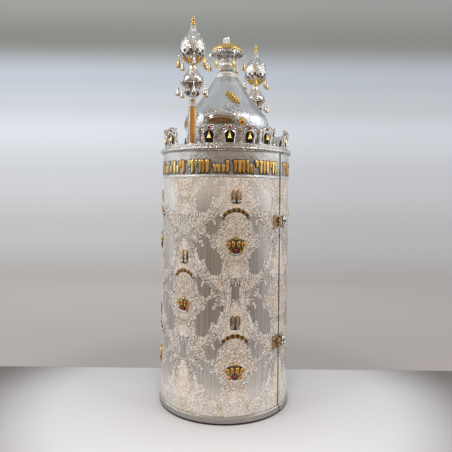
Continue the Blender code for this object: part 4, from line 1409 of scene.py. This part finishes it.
# %% Lower bulb
def lower_bulb(side, centre, facing):
    profile = smooth([(9.0, 656.6), (13.0, 661.0), (16.8, 666.0), (17.4, 668.6), (14.6, 670.8),
                      (15.6, 676.0), (17.4, 681.0), (21.0, 685.0), (21.8, 689.0), (20.4, 695.0),
                      (14.8, 703.5), (9.6, 711.5), (8.0, 719.2), (5.5, 721.4)], 5)
    line = metres([(0, 656.6)] + profile + [(0, 721.4)])
    piece = Piece(side + "_lower_bulb", worked)
    piece.add(lobed(line, centre, 8, 0.10, (684 * MM, 712 * MM)))
    waist = [(r + 0.25, z) for r, z in profile if 670.6 < z < 683.0]
    waist = [(0, waist[0][1])] + waist + [(0, waist[-1][1])]
    piece.add(turned(metres(waist), (*centre, 0), 40), brown_brass)
    for i in range(16):
        place = on_turned(centre, profile, facing + 2 * math.pi * i / 16)
        gadroon = moved(leaf_outline(8.5, 3.6), 0, 657.6 * MM, MM)
        piece.add(pillow(gadroon, place, 1.0 * MM), (dark_silver_and_shade, polished)[i % 2])
        for turn, up, size in ((0, 674.0, 1.1), (math.pi / 16, 677.6, 1.2), (0, 681.0, 1.3)):
            stud = on_turned(centre, profile, facing + 2 * math.pi * i / 16 + turn)
            piece.add(bead(stud(0, up * MM, 0.2 * MM), size * MM, 8), brown_brass)
    for i in range(8):
        place = on_turned(centre, profile, facing + 2 * math.pi * (i + 0.5) / 8)
        leaf = moved(leaf_outline(12, 7.5, 4), 0, 685.0 * MM, MM)
        piece.add(pillow(leaf, place, 1.4 * MM), polished)
    for turn in BELL_TURNS:
        point = scroll_plane(centre, facing + math.radians(turn))
        arm = smooth([(19, 678.6), (23.0, 685.1), (27.5, 684.6), (30.0, 679.1)], 4)
        piece.add(wire([point(r, z) for r, z in arm], 0.9 * MM, 6))
        curl = scroll_line(24, 680.2, 3.6, 0.5, 12)
        piece.add(wire([point(r, z) for r, z in curl], 0.6 * MM, 6))
        hung_bell(piece, point(30.0, 678.6), 22 * MM, 5.4 * MM, worked)
    ring = [scroll_plane(centre, a)(7.9, 718.9) for a in np.linspace(0, 2 * math.pi, 25)]
    piece.add(wire(ring, 0.7 * MM, 6), gilt)
    piece.make(side + "_half", "polished_silver", [side + "_finial_lower_bulb"], 32)


# %% Upper bulb and tip
def upper_bulb(side, centre, facing):
    profile = smooth([(5.5, 721.9), (14.0, 729.0), (24.4, 740.0), (26.2, 753.0), (25.4, 765.0),
                      (21.2, 774.5), (15.8, 781.5), (10.0, 788.5), (7.0, 796.5), (4.6, 803.1)], 5)
    line = metres([(0, 721.9)] + profile + [(0, 803.1)])
    piece = Piece(side + "_upper_bulb", worked)
    piece.add(lobed(line, centre, 8, 0.06, (760 * MM, 798 * MM)))
    for i in range(12):
        place = on_turned(centre, profile, facing + 2 * math.pi * (i + 0.5) / 12)
        leaf = moved(leaf_outline(15, 6.4), 0, 724.3 * MM, MM)
        piece.add(pillow(leaf, place, 1.3 * MM, 0.5, 0.5 * MM), gilt)
        for turn, up, size in ((0, 740.2, 2.6), (0.5, 746.2, 2.9), (0.5, 757.0, 1.5)):
            eye = on_turned(centre, profile, facing + 2 * math.pi * (i + 0.5 + turn) / 12)
            if size > 2:
                socket = moved(circle(size), 0, up * MM, MM)
                piece.add(pillow(socket, eye, 0.5 * MM, 0.6, 0.2 * MM), dark_silver_and_shade)
                ring = moved(circle(size + 0.5, 14), 0, up * MM, MM)
                line = [eye(x, z, 0.2 * MM) for x, z in ring + ring[:1]]
                piece.add(wire(line, 0.45 * MM, 5), polished)
                piece.add(bead(eye(0, up * MM, 0.2 * MM), 0.9 * MM, 8))
            else:
                piece.add(bead(eye(0, up * MM, -0.5 * MM), size * MM, 8), polished)
    for i in range(8):
        for turn, up, long, wide in ((0.5, 760, 15, 8), (0, 769, 12, 5.5), (0.5, 779.5, 10, 3.6)):
            place = on_turned(centre, profile, facing + 2 * math.pi * (i + turn) / 8)
            leaf = moved(leaf_outline(long, wide, 5), 0, up * MM, MM)
            piece.add(pillow(leaf, place, 0.8 * MM, 0.5, 0.3 * MM), polished)
    for i, turn in enumerate(BELL_TURNS):
        point = scroll_plane(centre, facing + math.radians(turn))
        arm = smooth([(22.5, 737.4), (25.5, 740.9), (28.5, 740.0), (29.2, 735.9)], 4)
        piece.add(wire([point(r, z) for r, z in arm], 0.8 * MM, 6))
        hung_bell(piece, point(29.2, 735.7), 22 * MM, 5.3 * MM, (gilt, worked)[i % 2])
    piece.make(side + "_half", "polished_silver", [side + "_finial_upper_bulb"], 32)


def finial_tip(side, centre):
    profile = smooth([(4.6, 803.6), (5.4, 805.8), (4.9, 807.8), (2.9, 810.0), (2.6, 812.0),
                      (3.9, 814.8), (3.8, 817.2), (2.2, 819.4), (1.7, 820.9), (1.4, 822.3),
                      (0, TIP_TOP / MM)], 3)
    tip = turned(metres([(0, 803.6)] + profile), (*centre, 0), 28)
    Piece(side + "_gilt_tip", gilt).add(tip).make(side + "_half", "gilt", [side + "_finial_tip"], 30)


for side, (sign, facing) in HALVES.items():
    axis = (sign * STAFF_OFFSET, 0.0)
    finial_staff(side, axis)
    lower_bulb(side, axis, facing)
    upper_bulb(side, axis, facing)
    finial_tip(side, axis)

# %% [markdown]
# ## Gilt emblems on the damask
#
# The sheet carries three kinds of gilt emblem, one above another: a pair of tablets, an arc
# of small blocks, and a crown with a red stone. They repeat with the damask, on the middle
# column of each half and on the columns beside it. On the real case each one is a casting
# on a dark plate. A crown is the CAD node here; the tablets and arcs are thinner than
# the model's solids need to be, so they are surface work.

# %% One crown
CROWN_SIDE = [(8.0, 0.6), (12.2, 5.0), (19.0, 22.0), (18.4, 27.6), (12.8, 30.6), (5.6, 33.2), (2.9, 39.0)]
CROWN_PLATE = CROWN_SIDE + [(-x, z) for x, z in reversed(CROWN_SIDE)]


def crown(piece, side, angle, foot, size=1.0):
    """A gilt crown: silver rim, stone, four lobes, and an arched top with a small knob."""
    step = size * MM

    def set_on(outline, across, up, turn, thick, finish, lift=0.8):
        shape = moved(outline, across * step, foot + up * step, step, math.radians(turn))
        out = round_case(side, angle, (0.4 + lift) * MM)
        piece.add(pillow(shape, out, thick * MM, 0.6, 0.3 * MM * (thick > 1.4)), finish)

    def band(line, thick, finish):
        out = round_case(side, angle, 1.5 * MM)
        piece.add(wire([out(x * step, foot + z * step, 0) for x, z in line], thick * step, 6), finish)

    plate = [(0.94 * x, 1.2 + 0.94 * z) for x, z in CROWN_PLATE]
    set_on(smooth(plate, 3, closed=True), 0, 0, 0, 0.9, dark_gilt, 0.0)
    turns = np.linspace(0, 6.28, 17)[:-1]
    for x, wide, lean in ((-14.8, 3.7, 24), (-5.2, 3.3, 8), (5.2, 3.3, -8), (14.8, 3.7, -24)):
        for grow, thick, finish in ((1.14, 1.5, gilt), (0.96, 2.2, amber)):
            petal = [(wide * grow * math.cos(t), 5.3 * grow * math.sin(t)) for t in turns]
            set_on(petal, x, 23.0 - 0.006 * x * x, lean, thick, finish)
    for hand in (-1, 1):
        band([(hand * (3.5 + 15.5 * t), 33.8 - 5.4 * t * t) for t in np.linspace(0, 1, 9)], 0.8, polished)
        set_on(leaf_outline(10.0, 6.4), 8.0 * hand, 4.4, -34 * hand, 2.0, amber)
        band([(hand * (4.4 + 9.4 * t), 15.6 - 2.6 * t) for t in np.linspace(0, 1, 5)], 0.7, gilt)
    band([(x, 2.4 + 0.026 * x * x) for x in np.linspace(-10.5, 10.5, 13)], 1.5, polished)
    set_on([(5.2 * math.cos(t), 2.9 * math.sin(t)) for t in turns], 0, 34.6, 0, 1.9, gilt)
    set_on(circle(1.7), 0, 37.4, 0, 1.8, polished)
    set_on(circle(5.0), 0, 10.2, 0, 1.4, dark_silver_and_shade)
    set_on(circle(4.0, 16), 0, 10.2, 0, 2.45, ruby, 0.3)


# %% Tablets and arc
def emblem_tablets(piece, side, angle, foot, size=1.0):
    """Two round-topped tablets with gilt frames, on a foot of silver leaves."""
    step = size * MM

    def set_on(outline, across, up, turn, lift, thick, finish):
        shape = moved(outline, across * step, foot + up * step, step, math.radians(turn))
        piece.add(pillow(shape, round_case(side, angle, lift * MM), thick * MM, 0.4), finish)

    for hand in (-1, 1):
        set_on(tablet_outline(10.6, 20.6), hand * 4.9, 5.6, 0, 0.1, 0.7, dark_silver_and_shade)
        set_on(tablet_outline(9.4, 19.4), hand * 4.9, 6.3, 0, 0.5, 1.1, amber)
        set_on(tablet_outline(7.4, 17.6), hand * 4.9, 7.2, 0, 0.9, 0.75, dark_silver_and_shade)
        set_on(tablet_outline(5.4, 15.6), hand * 4.9, 8.2, 0, 1.0, 0.90, aged)
        for turn, long in ((-100, 7.5), (-62, 6.5), (-140, 5.5)):
            set_on(leaf_outline(long, 3.4), hand * 2.0, 4.4, turn * hand, 0.6, 1.3, polished)
        curl = [(hand * (7.6 + (2.6 - 0.35 * t) * math.cos(t)), 3.2 + (2.6 - 0.35 * t) * math.sin(t))
                for t in np.linspace(-1.2, 5.4, 14)]
        out = round_case(side, angle, 1.2 * MM)
        line = [out(x * step, foot + z * step, 0) for x, z in curl]
        piece.add(wire(line, 0.55 * step, 6), polished)
    dark = smooth([(-9, 0.8), (-4, -1.2), (4, -1.2), (9, 0.8), (8.6, 6), (-8.6, 6)], 3, closed=True)
    set_on(dark, 0, 0, 0, 0.1, 0.6, dark_silver_and_shade)


def emblem_arc(piece, side, angle, top, size=1.0):
    """An arc of gilt blocks with dark ones between them, tipped with silver and gilt beads."""
    reach, blocks, step = 30.6, 13, size * MM
    place = round_case(side, angle, 0.1 * MM)
    for i in range(blocks):
        share = (i + 0.5) / blocks
        turn = math.radians(27.5 + (180 - 2 * 27.5) * share)
        taper = 0.62 + 0.38 * math.sin(math.pi * share)
        across, up = reach * math.cos(turn), reach * (math.sin(turn) - 1) - 3.4
        gilded = i % 2 == 0
        under = (6.0, 8.4 * taper, 0.0, 0.8, dark_silver_and_shade)
        over = (4.4, 7.4 * taper, 0.5, 1.8, amber) if gilded else (4.4, 4.4 * taper, 0.5, 1.0, dark_gilt)
        for wide, tall, lift, thick, finish in (under, over):
            block = [(-wide / 2, -tall / 2), (wide / 2, -tall / 2), (wide * 0.42, tall * 0.3),
                     (0, tall / 2), (-wide * 0.42, tall * 0.3)]
            block = smooth(block, 2, closed=True)
            shape = moved(block, across * step, top + up * step, step, turn - math.pi / 2)
            piece.add(pillow(shape, round_case(side, angle, lift * MM), thick * MM, 0.6), finish)
        if gilded:
            tip = reach + 4.2 * taper
            height = top + (tip * math.sin(turn) - reach - 3.4) * step
            knob = place(tip * math.cos(turn) * step, height, 1.2 * MM)
            piece.add(bead(knob, 2.1 * step, 8), gilt if i % 4 else polished)


# %% Three columns of emblems on each half
for side, (sign, facing) in HALVES.items():
    emblems = Piece(side + "_gilt_emblems", gilt)
    nodes = []
    for name, column in (("upper_front", 1), ("lower_front", 1), ("middle", 0), ("upper_back", -1),
                         ("lower_back", -1)):
        angle = -sign * column * math.pi / 4
        foot, top = low(f"{side}_crown_{name}").z, high(f"{side}_crown_{name}").z
        size = (top - foot) / (39.5 * MM)
        crown(emblems, side, angle, foot, size)
        emblem_arc(emblems, side, angle, foot + (60 + 34 * size) * MM, size)
        emblem_tablets(emblems, side, angle, foot + (80.5 + 23.5 * size) * MM)
        nodes.append(f"{side}_crown_{name}")
    emblems.make(side + "_half", "gilt", nodes, 40)

# %% [markdown]
# ## Clasps and hinges
#
# Two clasps hold the front seam. A tongue on the left half enters a box on the right half.
# The left plate and its tongue are the CAD's own, because they must fit the box, and chased
# leaves are set all over them. The box is drawn again a millimetre lower, so that its silver
# lobes and their dark ground stay within its depth. The hinges at the back keep their CAD
# shape too, and get screws.

# %% Work on the clasps
def front_of(side, height):
    """A place at the front seam: (away from the seam, up, out)."""
    sign = HALVES[side][0]

    def place(away, up, out):
        a = -math.pi / 2 + sign * away / CASE
        r = CASE + out
        return (sign * SEAM / 2 + r * math.cos(a), r * math.sin(a), height + up)
    return place


def solid_block(corner, opposite):
    """A block between two corners, as points and faces."""
    points = [(x, y, z) for x in (corner[0], opposite[0]) for y in (corner[1], opposite[1])
              for z in (corner[2], opposite[2])]
    return points, [(0, 1, 3, 2), (4, 6, 7, 5), (0, 4, 5, 1), (2, 3, 7, 6), (0, 2, 6, 4), (1, 5, 7, 3)]


def flat_front(side, height, proud):
    """A flat place in front of the seam, `proud` of the case."""
    sign = HALVES[side][0]

    def place(away, up, out):
        return (sign * (SEAM / 2 + away), -(CASE + proud + out), height + up)
    return place


def scatter(piece, place, leaves, thick):
    """Add small leaves given as (away, up, turn, length, finish)."""
    for x, z, turn, long, finish in leaves:
        shape = moved(leaf_outline(long, long * 0.46), x * MM, z * MM, MM, math.radians(turn))
        piece.add(pillow(shape, place, thick * MM, 0.5, 0.25 * MM), finish)


def clasp_plate(level):
    """The left side: chased leaves over the plate and its raised block."""
    corner_low, corner_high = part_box(f"left_{level}_clasp")
    height = (corner_low.z + corner_high.z) / 2
    piece = Piece(f"left_{level}_clasp_work", brown_brass)
    plate = front_of("left", height)
    metals = (brown_brass, amber, brown_brass, gilt)
    on_plate = [(12.6 + 4.0 * (i % 3), -9.0 + 5.6 * (i // 3), 35 + 67 * i, 6.0, metals[i % 4])
                for i in range(12)]
    scatter(piece, lifted(plate, 1.7 * MM), on_plate, 1.5)
    metals = (amber, brown_brass, gilt, brown_brass, amber)
    on_block = [(4.9 + 2.6 * (i % 2), -7.6 + 3.8 * (i // 2), 20 + 105 * i, 4.4, metals[i % 5])
                for i in range(10)]
    scatter(piece, flat_front("left", height, 6.5 * MM), on_block, 1.3)
    wall = flat_front("left", height, 0)
    metals = (brown_brass, dark_silver_and_shade, gilt, amber)
    for i in range(10):
        spot = wall(11.0 * MM, (-7.2 + 3.6 * (i // 2)) * MM, (3.0 + 2.4 * (i % 2)) * MM)
        piece.add(bead(spot, 1.35 * MM, 8), metals[i % 4])
    for x, z in ((21, -7), (5, -10.5), (13, 11), (20.5, 11)):
        piece.add(bead(plate(x * MM, z * MM, 2.0 * MM), 1.2 * MM, 8), gilt)
    piece.make("left_half", "polished_silver")


def clasp_case(level):
    """The right side: a slotted box on a plate, with silver lobes on a dark ground."""
    node = f"right_{level}_clasp"
    corner_low, corner_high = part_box(node)
    height = (corner_low.z + corner_high.z) / 2
    piece = Piece(f"right_{level}_clasp_case", aged)
    plate = front_of("right", height)
    shield = [(0.4, 14.0), (0.4, -11.0), (4.0, -13.4), (8.5, -11.2), (13.0, -14.0), (18.0, -10.0),
              (18.0, 14.0)]
    piece.add(pillow(metres(shield), lifted(plate, 0.5 * MM), 1.3 * MM, 0.3))
    # The box: front, back, top, bottom and far wall. The tongue comes in from the seam.
    for near, far, inner, outer, low_end, high_end in (
            (0.1, 14.5, 5.9, 7.0, -10, 10), (0.1, 14.5, 1.2, 2.6, -10, 10),
            (0.1, 14.5, 2.6, 5.9, 5.8, 10), (0.1, 14.5, 2.6, 5.9, -10, -5.8),
            (9.5, 14.5, 2.6, 5.9, -5.8, 5.8)):
        corner = flat_front("right", height, inner * MM)(near * MM, low_end * MM, 0)
        opposite = flat_front("right", height, outer * MM)(far * MM, high_end * MM, 0)
        piece.add(solid_block(corner, opposite))
    front = flat_front("right", height, 6.9 * MM)
    ground = metres([(0.7, -9.4), (13.9, -9.4), (13.9, 9.4), (0.7, 9.4)])
    piece.add(pillow(ground, front, 0.35 * MM, 0.3), dark_silver_and_shade)
    lobes = [(1.2, 3.4, -62, 11, frosted), (2.4, 7.8, -86, 10, frosted), (1.0, -2.4, -70, 7, frosted),
             (8.4, 2.4, -40, 8, frosted), (1.6, -8.6, -30, 8, frosted), (9.0, -5.4, -60, 7, frosted),
             (6.0, -8.8, -80, 7, aged)]
    scatter(piece, front, lobes, 1.15)
    for i in range(6):
        stud = front(0.9 * MM, (-8.5 + 3.4 * i) * MM, 0.3 * MM)
        piece.add(bead(stud, 0.7 * MM, 8), (frosted, dark_silver_and_shade)[i % 2])
    for x, z in ((3, 11.8), (9, 11.8), (15, 11.8), (12.5, -12.0), (16.4, 3), (16.4, -4)):
        piece.add(bead(plate(x * MM, z * MM, 1.9 * MM), 1.2 * MM, 8), gilt)
    piece.make("right_half", "polished_silver", [node])


def hinge_screws(side, level):
    """Round-headed screws with a slot, on a hinge leaf."""
    sign = HALVES[side][0]
    corner_low, corner_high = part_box(f"{side}_{level}_hinge_leaf")
    middle = (corner_low.z + corner_high.z) / 2
    piece = Piece(f"{side}_{level}_hinge_screws", polished)

    def place(across, up, out):
        a = math.pi / 2 - sign * 13 * MM / CASE + across / CASE
        r = CASE + 1.9 * MM + out
        return (sign * SEAM / 2 + r * math.cos(a), r * math.sin(a), up)

    head, slot = circle(2.4, 16), [(-2.0, -0.3), (2.0, -0.3), (2.0, 0.3), (-2.0, 0.3)]
    for dz in (-21, -7, 7, 21):
        up = middle + dz * MM
        piece.add(pillow(moved(head, 0, up, MM), place, 1.0 * MM, 0.7))
        # Painted shade: the slot is a dark bar on the head, standing for the shade in a cut slot.
        piece.add(pillow(moved(slot, 0, up, MM, 0.2 * dz), place, 1.05 * MM, 0.2), dark_silver_and_shade)
    piece.make(side + "_half", "polished_silver")


def refinish(node, finish):
    """Give a CAD node a worked finish."""
    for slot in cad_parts[node].material_slots:
        slot.material = finish


for level in ("upper", "lower"):
    refinish(level + "_hinge_pin", satin)
    refinish(f"left_{level}_clasp", brown_brass)
    clasp_plate(level)
    clasp_case(level)
    for side in HALVES:
        refinish(f"{side}_{level}_hinge_leaf", satin)
        hinge_screws(side, level)

# %% [markdown]
# ## The wooden drum inside
#
# When the case opens, its drum shows: a stained wooden wall with a floor and a top board,
# on a foot of black felt. Their CAD shapes are faceted, so smooth turned ones stand for
# them, with a small rounding on the edges that a hand would touch.

# %% Drum and foot
def softened(r_in, r_out, bottom, top, soft=0.8 * MM):
    """A ring's outline with its corners rounded."""
    inner = [(0, top), (0, bottom)]
    if r_in > 0:
        inner = [(r_in + soft, top), (r_in, top - soft), (r_in, bottom + soft), (r_in + soft, bottom)]
    outer = [(r_out - soft, bottom), (r_out, bottom + soft), (r_out, top - soft), (r_out - soft, top)]
    return inner + outer


for side in HALVES:
    body = side + "_half"
    for node, r_in, r_out, finish, slot in (
            ("foot_pad", 0, 142.0 * MM, black_felt, "black_felt"),
            ("wall", WALL_IN, WALL_OUT, walnut, "stained_wood"),
            ("floor_board", 0, WALL_IN - 0.3 * MM, walnut, "stained_wood"),
            ("top_board", 0, WALL_IN - 0.3 * MM, walnut, "stained_wood")):
        corner_low, corner_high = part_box(f"{side}_{node}")
        outline = softened(r_in, r_out, corner_low.z, corner_high.z)
        Piece(f"{side}_smooth_{node}", finish).add(half_turned(outline, side)).make(
            body, slot, [f"{side}_{node}"], 30)

# %% [markdown]
# ## Floor, backdrop and light
#
# Metal shows what is round it, so the room matters as much as the material. The case stands
# on a pale floor before a soft grey backdrop. Two large soft lights at the sides whiten the
# silver's edges, and two small ones higher up make it sparkle. A dim warm room behind the
# camera gives the middle of the drum its brown depth. A warm light high in front and one
# overhead fill in floor, deck and dome, and reflections leave those two out, because polished
# silver would show them as hard patches.
#
# The floor grows darker away from the case, as it does where a pool of light ends, and the
# drum's foot mirrors that too. Behind the case, floor and backdrop glow with painted light,
# graded up the backdrop and shaded towards the right, so that no lamp's place shows on them.

# %% Floor and backdrop
VIEW = math.radians(-54.0)
TOWARD = Vector((math.sin(VIEW), -math.cos(VIEW), 0))       # from the case to the camera
ACROSS = Vector((math.cos(VIEW), math.sin(VIEW), 0))        # to the camera's right


def by_place(finish, where, colours):
    """A colour that changes with a value, through (value, colour) stops."""
    colour = colours[0][1]
    for (start, _), (end, second) in zip(colours, colours[1:]):
        colour = finish.mix(where.step(start, end), colour, second)
    return colour


def stand(name, finish, shape):
    """Make a stage piece: not part of the object."""
    grains = finish.noise(260, 2.0)
    finish.feed("Roughness", 0.72 + 0.2 * grains)
    points, faces = shape
    mesh = bpy.data.meshes.new(name)
    mesh.from_pydata([tuple(p) for p in points], [], faces)
    mesh.materials.append(finish.material)
    made = bpy.data.objects.new(name, mesh)
    scene.collection.objects.link(made)


FAR = (0.335, 0.315, 0.302)
# Painted shade: floor and backdrop are darker towards the right.
DIM = (0.22, 0.20, 0.22)            # far to the right
GLOWS, AFTER = 0.165, 0.168         # how far behind the case's axis the floor starts to glow
floor_finish = Finish("pale_floor", Emission_Strength=1.0)
behind = floor_finish.along(-TOWARD)
pool = by_place(floor_finish, behind, [
    (-0.44, (0.12, 0.09, 0.07)), (-0.32, (0.68, 0.69, 0.72)), (0.0, (0.61, 0.62, 0.65)),
    (0.164, (0.54, 0.545, 0.575)), (AFTER, (0.02, 0.02, 0.02))])
aside = floor_finish.along(ACROSS)
away = (aside * aside + behind * behind) ** 0.5
lit = away.step(0.34, 0.60, 1, 0.14) + away.step(0.95, 1.6, 0, 0.45)
floor_finish.feed("Base_Color", floor_finish.mix(lit, (0.10, 0.085, 0.075), pool))
far_glow = by_place(floor_finish, behind, [(GLOWS, (0, 0, 0)), (AFTER, FAR), (1.30, (0.40, 0.385, 0.37))])
to_the_right = aside.step(-0.9, 0.9, 0.0, 0.30) * behind.step(GLOWS, AFTER)
floor_finish.feed("Emission_Color", floor_finish.mix(to_the_right, far_glow, DIM))
floor_corners = [(-3, -3, 0), (3, -3, 0), (3, 3, 0), (-3, 3, 0)]
stand("pale_floor", floor_finish, (floor_corners, [(0, 1, 2, 3)]))

wall_finish = Finish("soft_backdrop", Emission_Strength=1.0, Base_Color=(0.02, 0.02, 0.02))
wall_glow = by_place(wall_finish, wall_finish.along((0, 0, 1)), [
    (0.0, (0.42, 0.405, 0.39)), (0.25, (0.51, 0.515, 0.52)), (0.52, (0.61, 0.625, 0.65)),
    (0.77, (0.71, 0.755, 0.805)), (0.90, (0.60, 0.64, 0.68)), (1.04, (0.53, 0.58, 0.645)),
    (1.22, (0.238, 0.245, 0.226)), (1.43, (0.34, 0.34, 0.325))])
shade = wall_finish.along(ACROSS).step(-0.9, 0.9, 0.0, 0.24)
wall_finish.feed("Emission_Color", wall_finish.mix(shade, wall_glow, DIM))
foot_of_wall = [1.35 * (-TOWARD) + ACROSS * x for x in np.linspace(-2.2, 2.2, 9)]
wall_rows = [[(p.x, p.y, z) for p in foot_of_wall] for z in (-0.001, 2.4)]
stand("soft_backdrop", wall_finish, loft(wall_rows, wrap=False))

# %% Room and lights
world = bpy.data.worlds.new("studio")
scene.world = world
world.use_nodes = True
sky = world.node_tree
direction = sky.nodes.new("ShaderNodeTexCoord").outputs["Generated"]


def sky_node(kind, settings, sockets, output=0):
    made = sky.nodes.new(kind)
    for name, value in settings.items():
        setattr(made, name, value)
    for key, value in sockets.items():
        if isinstance(value, bpy.types.NodeSocket):
            sky.links.new(value, made.inputs[key])
        else:
            made.inputs[key].default_value = value
    return made.outputs[output]


def share_of(direction_to, start, end):
    """How much a direction in the room points one way."""
    along = sky_node("ShaderNodeVectorMath", {"operation": "DOT_PRODUCT"},
                     {0: direction, 1: tuple(direction_to)}, "Value")
    settings = {"interpolation_type": "SMOOTHSTEP"}
    return sky_node("ShaderNodeMapRange", settings, {0: along, 1: start, 2: end})


def blend(share, first, second):
    return sky_node("ShaderNodeMix", {"data_type": "RGBA"}, {0: share, 6: first, 7: second}, 2)


upward = share_of((0, 0, 1), -0.12, 0.10)
behind_camera = blend(upward, (0.22, 0.185, 0.15, 1), (0.50, 0.41, 0.33, 1))
around = blend(share_of((0, 0, 1), 0.35, 0.9), (0.66, 0.685, 0.72, 1), (0.45, 0.465, 0.49, 1))
room = blend(share_of(TOWARD, 0.25, 0.66), around, behind_camera)
sky.links.new(room, sky.nodes["Background"].inputs["Color"])
sky.nodes["Background"].inputs["Strength"].default_value = 1.0


def soft_light(name, place, aim, wide, tall, power, colour=(1, 1, 1), mirrored=True):
    light = bpy.data.lights.new(name, "AREA")
    light.shape = "RECTANGLE"
    light.size, light.size_y = wide, tall
    light.energy = power
    light.color = colour
    lamp = bpy.data.objects.new(name, light)
    lamp.location = place
    lamp.rotation_euler = (Vector(aim) - Vector(place)).to_track_quat("-Z", "Y").to_euler()
    lamp.visible_glossy = mirrored
    lamp.visible_camera = False
    scene.collection.objects.link(lamp)
    print(f"{name}: {power} W")


MIDDLE = (0, 0, 0.35)
UP = Vector((0, 0, 1))
soft_light("left_softbox", TOWARD * 0.05 - ACROSS * 1.4 + UP * 0.8, MIDDLE, 1.5, 1.5, 4.0, (0.97, 0.99, 1))
soft_light("right_softbox", ACROSS * 1.4 + UP * 0.8, MIDDLE, 1.5, 1.5, 4.0, (0.96, 0.98, 1))
soft_light("high_front", TOWARD * 1.4 + UP * 1.8, MIDDLE, 0.9, 0.5, 18, (1, 0.87, 0.76), mirrored=False)
soft_light("high_left", TOWARD * 0.8 - ACROSS * 1.1 + UP * 1.6, MIDDLE, 0.40, 0.40, 5)
soft_light("high_right", TOWARD * 0.7 + ACROSS * 1.1 + UP * 1.6, MIDDLE, 0.40, 0.40, 4)
soft_light("over_the_floor", UP * 2.0, (0, 0, 0), 0.35, 0.35, 6, mirrored=False)

# %% [markdown]
# ## Camera
#
# The camera stands a little above the case's middle, about 1.1 metres away and to the left
# of the front seam. It looks level, with a roll of half a degree. The frame is shifted, not
# tilted, so the upright lines stay upright.

# %% Camera
camera = bpy.data.cameras.new("camera")
camera.sensor_width = 36.0
camera.lens = 38.636283
camera.shift_y = -0.077
camera.shift_x = 0.0007
eye = bpy.data.objects.new("camera", camera)
eye.location = TOWARD * 1.098 + Vector((0, 0, 0.4622))
eye.rotation_euler = (-TOWARD).to_track_quat("-Z", "Y").to_euler()
eye.rotation_euler.rotate_axis("Z", math.radians(0.60))
scene.collection.objects.link(eye)
scene.camera = eye
scene.view_settings.view_transform = "Standard"
